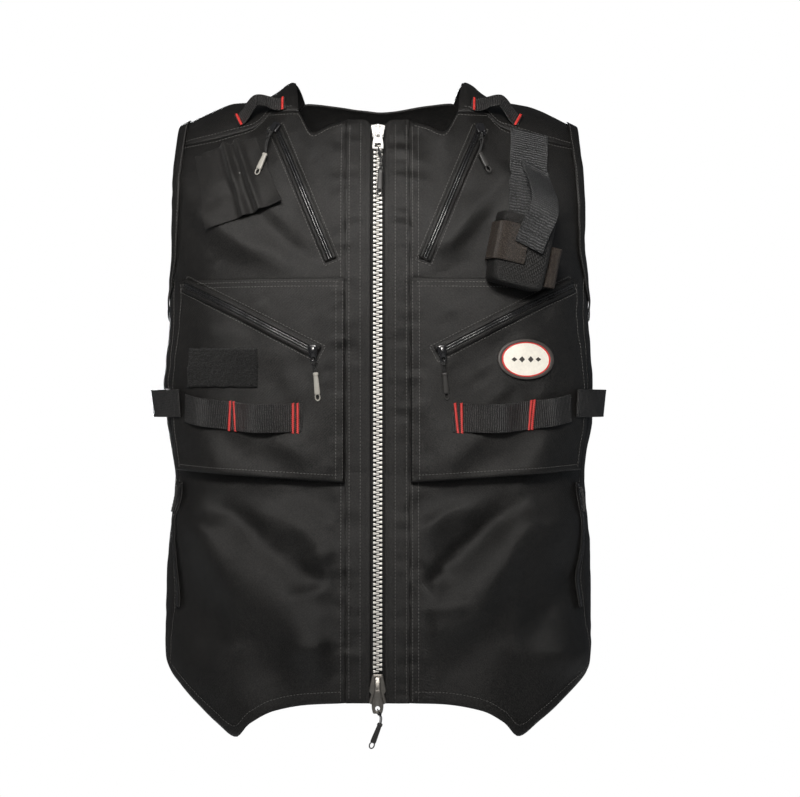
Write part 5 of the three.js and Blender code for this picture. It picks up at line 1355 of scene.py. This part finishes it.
def webbing_material(name, dark, pale, ribs=470):
    """Ribbed nylon webbing: fine ribs across it with a herringbone between them, a soft gloss, and painted shade that
    darkens the grooves between the ribs.
    """
    material = woven_material(name, dark, pale, 1300, 0.36, 0.0, 0.6, 0.15, 30)
    tree = material.node_tree
    places = next(n for n in tree.nodes if n.type == "UVMAP")
    split = tree.nodes.new("ShaderNodeSeparateXYZ")
    tree.links.new(places.outputs[0], split.inputs[0])
    along = worked(tree, "MULTIPLY", split.outputs[1], ribs * 2 * np.pi)
    slant = worked(tree, "MULTIPLY", worked(tree, "PINGPONG", split.outputs[0], 0.0045), ribs * 2 * np.pi * 0.12)
    ridge = worked(tree, "SINE", worked(tree, "ADD", along, slant))
    woven = next(n for n in tree.nodes if n.type == "GROUP" and n.node_tree == weave)
    bump = next(n for n in tree.nodes if n.type == "BUMP")
    bump.inputs["Distance"].default_value = 0.0005
    height = worked(tree, "MULTIPLY_ADD", ridge, 1.1, woven.outputs["Height"])
    tree.links.new(height, bump.inputs["Height"])
    shader = tree.nodes["Principled BSDF"]
    # painted shade: the colour darkens towards near black in the grooves between the ribs, where the bump is lowest
    between = worked(tree, "MULTIPLY_ADD", ridge, -0.4, 0.4)
    base = shader.inputs["Base Color"].links[0].from_socket
    tree.links.new(mixed(tree, between, base, (0.002, 0.002, 0.002)), shader.inputs["Base Color"])
    return material


black_webbing = webbing_material("black_webbing", (0.010, 0.010, 0.010), (0.075, 0.073, 0.072))
red_thread = polymer_material("red_thread", (0.42, 0.022, 0.018), 0.5, 0.1)


def band_profile(width, wall):
    """A flat band's section with rounded edges and a slightly raised selvedge on each side."""
    half = width / 2
    top = [(-half + 0.2, wall * 0.95), (-half + 1.0, wall * 1.05), (-half + 2.2, wall * 0.95)]
    inside = [(x, wall * 0.95) for x in np.linspace(-half + 4, half - 4, 9)]
    return [(half, wall * 0.45), (half - 0.2, 0.1), (half - 0.8, 0), (-half + 0.8, 0), (-half + 0.2, 0.1), (-half, wall * 0.45),
            *top, *inside, *[(-x, y) for x, y in top[::-1]]]


def arch(value, start, end):
    """A loop's rise between two tacks: sin(share * pi) ** 1.5."""
    share = np.clip((value - start) / (end - start), 0, 1)
    return np.sin(share * np.pi) ** 1.5


def strap_middle(x):
    """The level of the strap's middle: it rises a little towards the side."""
    return -strap_level + 14 * ease(np.abs(x), strap_outer * 0.6, strap_outer * 1.25)


thread_turn, thread_faces = rounded_block([(-0.5, 0.1, 0.05), (-0.4, 0.3, 0.28), (0, 0.36, 0.36), (0.4, 0.3, 0.28), (0.5, 0.1, 0.05)])


def tack(points, normals, across, width=2.7, pitch=0.95):
    """A dense row of short threads across a line, laid close together as a bar tack is."""
    gone = np.concatenate([[0], np.cumsum(np.linalg.norm(np.diff(points, axis=0), axis=1))])
    at = np.arange(0.2, gone[-1], pitch)
    centres = np.stack([np.interp(at, gone, points[:, i]) for i in range(3)], -1)
    outs = unit(np.stack([np.interp(at, gone, normals[:, i]) for i in range(3)], -1))
    sides = unit(np.stack([np.interp(at, gone, across[:, i]) for i in range(3)], -1))
    slant = unit(sides + 0.35 * np.cross(outs, sides) * np.where(np.arange(len(at)) % 2 == 0, 1, -1)[:, None])
    axes = np.stack([slant, np.cross(outs, slant), outs], -2)
    scale = np.stack([np.full(len(at), width), np.full(len(at), 1.6), np.full(len(at), 1.5)], -1)
    return repeated(thread_turn, thread_faces, centres, axes, scale)


# each tack line: x at its head and foot, for the wearer's right and left straps
tack_lines = {
    "right": ((134, 135.2), (131, 129), (77.2, 77.4), (73.1, 73.1)),
    "left": ((70.8, 73.6), (76.6, 77.2), (139.7, 137.5), (142.2, 140.2)),
}
for side, hand in hands:
    x = lerp(tack_inner - 5, strap_outer, np.linspace(0, 1, 110))
    z = strap_middle(x)
    rise = loop_bulge * (arch(x, tack_inner + 3, tack_middle - 3) + 0.5 * arch(x, tack_middle + 3, strap_outer))
    base = pocket_lift(hand * x, z) + seat_gap + 0.9
    points, feet = front_point(hand * x, z, base + rise), front_point(hand * x, z, base)
    normals = front_normal(hand * x, z)
    rings = strap_rings(points, feet, normals, band_profile(webbing_width, webbing_wall))
    piece = loft(f"front_strap_{side}_webbing", rings)
    dress(piece, black_webbing, "black_webbing", f"front_strap_{side}")
    parts = []
    for head, foot in tack_lines[side]:
        down = np.linspace(-webbing_width / 2 - 0.6, webbing_width / 2 + 0.6, 24)
        at = lerp(head, foot, np.linspace(0, 1, 24))
        level = strap_middle(at) - down
        lift = np.interp(at, x, base + rise) + webbing_wall * 1.02
        spot = front_point(hand * at, level, lift)
        out = front_normal(hand * at, level)
        sideways = np.broadcast_to(np.array([1.0, 0, 0]), spot.shape)
        parts.append(tack(spot, out, sideways))
    dress(gathered(f"front_strap_{side}_tacks", parts), red_thread, "black_webbing")

    t = np.linspace(0, 1, 110)
    turn = lerp(turn_of((strap_outer + 5) / width_at(-strap_level)), np.radians(124), t)
    z = np.full(110, float(strap_middle(strap_outer * 1.3)))
    base = lerp(pocket_lift(hand * (strap_outer + 5), z) + seat_gap, seat_gap, ease(t, 0, 0.5)) + 0.4
    rise = loop_bulge * 1.1 * arch(t, 0.06, 0.94)
    points, feet = cloth_point(turn, z, hand, base + rise), cloth_point(turn, z, hand, base)
    rings = strap_rings(points, feet, body_normal(turn, z, hand), band_profile(webbing_width, webbing_wall))
    piece = loft(f"side_strap_{side}_webbing", rings)
    dress(piece, black_webbing, "black_webbing", f"side_strap_{side}")

shoulder_from, shoulder_to, shoulder_width, shoulder_rise = (90, -30), (138, -47), 19, 15
for side, hand in hands:
    t = np.linspace(0, 1, 80)
    x, z = hand * lerp(shoulder_from[0], shoulder_to[0], t), lerp(shoulder_from[1], shoulder_to[1], t)
    lift = 0.45 + shoulder_rise * arch(t, 0.08, 0.92)
    normals = front_normal(x, z)
    points, feet = front_point(x, z, lift), front_point(x, z, 0.45)
    rings = strap_rings(points, feet, normals, band_profile(shoulder_width, webbing_wall))
    piece = loft(f"shoulder_loop_{side}_webbing", rings)
    dress(piece, black_webbing, "black_webbing", f"shoulder_loop_{side}")
    along = unit(np.gradient(feet, axis=0))
    across = unit(np.cross(normals, along))
    parts = []
    for i in (4, 75):
        row = np.linspace(-shoulder_width / 2 - 0.4, shoulder_width / 2 + 0.4, 16)[:, None]
        spot = points[i] + across[i] * row + normals[i] * webbing_wall
        same = np.ones((16, 1))
        parts.append(tack(spot, normals[i] * same, along[i] * same))
    dress(gathered(f"shoulder_loop_{side}_tacks", parts), red_thread, "black_webbing")

# On the wearer's right, a panel of softer cloth is sewn to the chest as two narrow upright channels,
# its lower edge left open and curling.
channel_corners = {"outer_top": (-176, -84), "inner_top": (-117, -67), "outer_foot": (-160, -156), "inner_foot": (-90, -131)}
channel_middles, channel_half, channel_rise, channel_peel = (0.5, 0.7), 0.08, 8, 7
soft_cloth = woven_material("soft_cloth", (0.003, 0.0028, 0.0027), (0.014, 0.013, 0.012), 1500, 0.62, 0.05, 0.3, 0.3, 22)
s = np.linspace(0, 1, 130)[None, :]
t = np.linspace(0, 1, 90)[:, None]
foot = np.array(channel_corners["outer_foot"]) + (np.array(channel_corners["inner_foot"]) - channel_corners["outer_foot"]) * s[..., None]
head = np.array(channel_corners["outer_top"]) + (np.array(channel_corners["inner_top"]) - channel_corners["outer_top"]) * s[..., None]
spot = lerp(foot, head, t[..., None])
rise = sum(np.exp(-(((s - middle) / channel_half) ** 2) * 1.4) for middle in channel_middles)
peel = channel_peel * (s * (1 - t)) ** 3 + channel_peel * 0.3 * ((1 - s) * (1 - t)) ** 3
wave = 0.35 * np.sin(s * 40) * np.exp(-((1 - t) / 0.06) ** 2) + 0.6 * soft_noise(spot[..., 0], spot[..., 1], 16, 21)
lift = seat_gap + pocket_wall + channel_rise * rise * 0.8 + peel + wave
grid = front_point(spot[..., 0], spot[..., 1], lift)
piece = cloth_piece("channel_panel_cloth", grid, front_normal(spot[..., 0], spot[..., 1]), pocket_wall)
dress(piece, soft_cloth, "shell_cloth", "channel_panel")

# A patch of loop pile is sewn on the right cargo pocket, to hold a badge.
patch_centre, patch_width, patch_height, patch_wall = (-144, -287), 66, 37, 2.2
pile = woven_material("loop_pile", (0.002, 0.002, 0.002), (0.016, 0.016, 0.016), 700, 0.8, 0.05, 1.0, 1.0, 240)
s, t = np.linspace(-0.5, 0.5, 170)[None, :], np.linspace(-0.5, 0.5, 100)[:, None]
ragged = 0.35 * soft_noise(t * patch_height + 0 * s, s * patch_width, 2.5, 31)
x = patch_centre[0] + s * patch_width + ragged * np.abs(s * 2) ** 6
z = patch_centre[1] + t * patch_height + ragged * np.abs(t * 2) ** 6
inset = np.minimum(0.5 - np.abs(s), (0.5 - np.abs(t)) * patch_height / patch_width) * patch_width
fuzz = 0.28 * soft_noise(x, z, 0.9, 32) + 0.22 * soft_noise(x, z, 2.1, 33)
lift = pocket_lift(x, z) + seat_gap + patch_wall * ease(inset, -0.8, 2.2) + fuzz * ease(inset, 0, 1.5)
piece = cloth_piece("loop_patch_pile", front_point(x, z, lift), front_normal(x, z), 1.0)
dress(piece, pile, "loop_pile", "loop_patch")

# On the left cargo pocket, an oval rubber badge: a dark raised rim, a red ring and an off-white field
# with a few small diamonds pressed into it.
badge_centre, badge_width, badge_height, badge_wall = (137, -279), 52, 38, 2.4
badge_rim = polymer_material("badge_rim", (0.045, 0.04, 0.037), 0.55, 0, 0.1)
badge_red = polymer_material("badge_red", (0.52, 0.035, 0.03), 0.4, 0.1, 0.05)
badge_white = polymer_material("badge_white", (0.72, 0.69, 0.62), 0.45, 0.1, 0.05)
# each row: share of the oval, lift as a share of the wall, and the colour of the ring that ends there
badge_rows = [
    (1.0, 0.0, 0), (1.0, 0.6, 0), (0.985, 0.9, 0), (0.95, 1.0, 0), (0.885, 1.0, 0), (0.87, 0.9, 0), (0.862, 0.72, 0),
    (0.856, 0.74, 1), (0.81, 0.76, 1), (0.804, 0.7, 1), (0.79, 0.7, 2), (0.6, 0.7, 2), (0.4, 0.7, 2), (0.2, 0.7, 2), (0.05, 0.7, 2),
]
angle = np.linspace(0, 2 * np.pi, 120, endpoint=False)
rings = []
for share, lift, _ in badge_rows:
    x = badge_centre[0] + share * np.cos(angle) * badge_width / 2
    z = badge_centre[1] + share * np.sin(angle) * badge_height / 2
    rings.append(front_point(x, z, pocket_lift(x, z) + seat_gap + lift * badge_wall))
piece = loft("oval_badge_rubber", np.stack(rings))
for material in (badge_rim, badge_red, badge_white):
    piece.data.materials.append(material)
colours = np.repeat([row[2] for row in badge_rows[1:]], 120)
whole = np.concatenate([colours, np.zeros(120), np.full(120, 2)]).astype(np.int32)
piece.data.polygons.foreach_set("material_index", whole)
dress(piece, None, "badge_rubber", "oval_badge")
diamond, diamond_faces = rounded_block([(-0.5, 0.04, 0.1), (0, 0.5, 0.16), (0.5, 0.04, 0.1)], 4)
# each row: x and z from the badge's centre, width and height
diamonds = np.array([(-11, 0, 5.5, 5), (-4, 0, 5.5, 7), (4, 0, 5.5, 7), (11, 0, 5.5, 5)], float)
x, z = badge_centre[0] + diamonds[:, 0], badge_centre[1] + diamonds[:, 1]
spot = front_point(x, z, pocket_lift(x, z) + seat_gap + 0.72 * badge_wall)
size = np.stack([diamonds[:, 2], diamonds[:, 3], np.full(4, 3.0)], -1)
dress(put_mesh("oval_badge_diamonds", *repeated(diamond, diamond_faces, spot, front_axes(x, z), size), smooth=False), badge_rim, "badge_rubber")

# On the wearer's left, a holder: a wide webbing strap sewn below the yoke, a
# tilted open cup of lined cloth, an elastic band, a retaining strap and a small sleeve.
holder_width, holder_depth, holder_height, holder_wall = 54, 32, 66, 2
holder_webbing, flap_width = 38, 30
points, feet, normals = front_line((146, -59), (139, -186), 1, lambda x, z: np.full(x.shape, seat_gap * 0.8), 80)
piece = loft("holder_strap_webbing", strap_rings(points, feet, normals, band_profile(holder_webbing, webbing_wall)))
grey_webbing = webbing_material("grey_webbing", (0.016, 0.0165, 0.017), (0.12, 0.122, 0.125), 380)
dress(piece, grey_webbing, "black_webbing", "radio_strap")
rows = []
for x, z in ((145, -77), (144.5, -91)):
    across = x + np.linspace(-holder_webbing / 2 + 1.5, holder_webbing / 2 - 1.5, 60)
    level = z + 0.8 * np.sin(np.linspace(0, 14 * np.pi, 60))
    rows.append(front_row(across, level, lambda x, z: np.full(x.shape, seat_gap * 0.8 + webbing_wall * 1.1)))
sewn("holder_strap_stitches", rows, thread=dark_thread)

cup_spin, cup_stand_off, cup_middle = -np.radians(12), 3.3, (126, -188)
cup_out = front_normal(*cup_middle) * (1, 1, 0)
cup_out = unit(cup_out)
level_across = np.cross(np.array([0, 0, 1.0]), cup_out)
cup_up = np.array([0, 0, 1.0]) * np.cos(cup_spin) + np.cross(cup_out, np.array([0, 0, 1.0])) * np.sin(cup_spin)
cup_across = level_across * np.cos(cup_spin) + np.cross(cup_out, level_across) * np.sin(cup_spin)
cup_foot = front_point(*cup_middle, cup_stand_off) - cup_up * holder_height * 0.36


def in_holder(across, up, out):
    """A place in the holder's own frame: across, up from the cup's foot, and out from its back face."""
    across, up, out = np.broadcast_arrays(np.asarray(across, float), np.asarray(up, float), np.asarray(out, float))
    return cup_foot + across[..., None] * cup_across + up[..., None] * cup_up + out[..., None] * cup_out


def cup_ring(up, inset, size=1.0, corner=9, count=64):
    """A rounded rectangle round the cup at a height: sides set in by inset, corners rounded as a superellipse; corner
    has no effect.
    """
    width, depth = (holder_width - 2 * inset) * size / 2, (holder_depth * size - 2 * inset) / 2
    radius = max(2, corner - inset)
    turn = np.arange(count) * 2 * np.pi / count
    c, s = np.cos(turn), np.sin(turn)
    edge = 1 / np.maximum(np.abs(c) ** 5 + np.abs(s) ** 5, 1e-9) ** 0.2
    return in_holder(c * edge * width, up, s * edge * depth + holder_depth / 2)


cup_rows = [(0, 3, 0.9), (0.6, 1.6, 0.93), (2, 0.5, 0.945), (4, 0, 0.955), (holder_height * 0.25, 0, 0.985),
            (holder_height * 0.45, 0, 1), (holder_height * 0.8, 0, 0.995), (holder_height - 9, 0, 0.985),
            (holder_height - 8.4, -0.5, 0.985), (holder_height - 1, -0.5, 0.98), (holder_height, 0.4, 0.98),
            (holder_height, holder_wall, 0.98), (holder_height * 0.45, holder_wall, 1), (4, holder_wall, 0.95),
            (holder_wall, 3 + holder_wall, 0.9)]
cup_rings = np.stack([cup_ring(*row) for row in cup_rows])
mesh_cloth = woven_material("holder_cloth", (0.006, 0.006, 0.006), (0.018, 0.017, 0.016), 620, 0.55, 0.0, 0.9, 0.2, 30)
piece = loft("holder_cup_cloth", cup_rings)
dress(piece, mesh_cloth, "holder_cloth", "radio_cup")

elastic_cloth = webbing_material("brown_elastic", (0.024, 0.019, 0.016), (0.11, 0.088, 0.072), 900)
band_path = [(-0.25, -0.025), (-0.41, -0.025), (-0.512, 0.16), (-0.52, 0.5), (-0.512, 0.84), (-0.41, 1.025), (-0.2, 1.025), (0, 1.025)]


def wrap_rings(path, low, high, wall, count):
    """A band wrapped round the cup: its section carried along a path of shares across and out."""
    places = smooth_path([(a * holder_width, 0, o * holder_depth) for a, o in path], count)
    tangent = unit(np.gradient(places, axis=0))
    side = np.stack([-tangent[:, 2], 0 * tangent[:, 0], tangent[:, 0]], -1)
    corners = [(0, low), (wall * 0.8, low), (wall, low + 0.6)]
    corners += [(wall, h) for h in np.linspace(low + 2, high - 2, 12)]
    corners += [(wall, high - 0.6), (wall * 0.8, high), (0, high)]
    return np.stack([in_holder(places[:, 0] + side[:, 0] * w, up, places[:, 2] + side[:, 2] * w) for w, up in corners], 1)


piece = loft("holder_band_elastic", wrap_rings(band_path, holder_height * 0.3, holder_height * 0.3 + 36, 1.2, 70))
dress(piece, elastic_cloth, "elastic", "radio_band")

flap_rows = [(10, 1.4, 0.62), (9.5, 1.2, 0.98), (7, 1.03, 1.13), (3, 0.8, 1.13), (0, 0.55, 1.12)]
flap_points = [front_point(149, -96, seat_gap + webbing_wall + 1.5), front_point(149.5, -106, seat_gap + webbing_wall + 5)]
flap_points += [in_holder(a, u * holder_height, o * holder_depth) for a, u, o in flap_rows]
path = smooth_path(flap_points, 90)
flap_across = unit(in_holder(1, -0.22, 0) - in_holder(0, 0, 0))
along = unit(np.gradient(path, axis=0))
out = unit(np.cross(along, flap_across))
profile = np.array(band_profile(flap_width, webbing_wall))
rings = path[:, None] + flap_across * profile[None, :, :1] + out[:, None] * profile[None, :, 1:]
piece = loft("holder_flap_webbing", rings)
dress(piece, grey_webbing, "black_webbing", "radio_flap")
spots = np.linspace(-flap_width / 2 + 1.5, flap_width / 2 - 1.5, 50)[:, None]
rows = [(path[at] + flap_across * spots + out[at] * webbing_wall, np.tile(out[at], (50, 1))) for at in (-6, -12)]
sewn("holder_flap_stitches", rows, thread=dark_thread)

sleeve_across, sleeve_out, sleeve_width, sleeve_depth, sleeve_low, sleeve_high, sleeve_wall = (
    holder_width * 0.5 + 6.4, holder_depth * 0.6, 12, 9, 6, 44, 1.1
)


def sleeve_ring(up, inset):
    """An oval ring of the sleeve at a height."""
    turn = np.arange(36) * 2 * np.pi / 36
    c, s = np.cos(turn), np.sin(turn)
    edge = 1 / (np.abs(c) ** 3 + np.abs(s) ** 3) ** (1 / 3)
    return in_holder(sleeve_across + c * edge * (sleeve_width / 2 - inset), up, sleeve_out + s * edge * (sleeve_depth / 2 - inset))


sleeve_rows = [(sleeve_low, 0.3), (sleeve_low + 0.5, 0), (16, 0), (28, 0.1), (sleeve_high - 6, 0), (sleeve_high - 5.6, -0.25),
               (sleeve_high - 0.4, -0.25), (sleeve_high, 0.2), (sleeve_high, sleeve_wall), (28, sleeve_wall), (16, sleeve_wall),
               (sleeve_low, sleeve_wall)]
piece = loft("holder_sleeve_elastic", np.stack([sleeve_ring(*row) for row in sleeve_rows]), looped=True)
dress(piece, elastic_cloth, "elastic", "radio_sleeve")
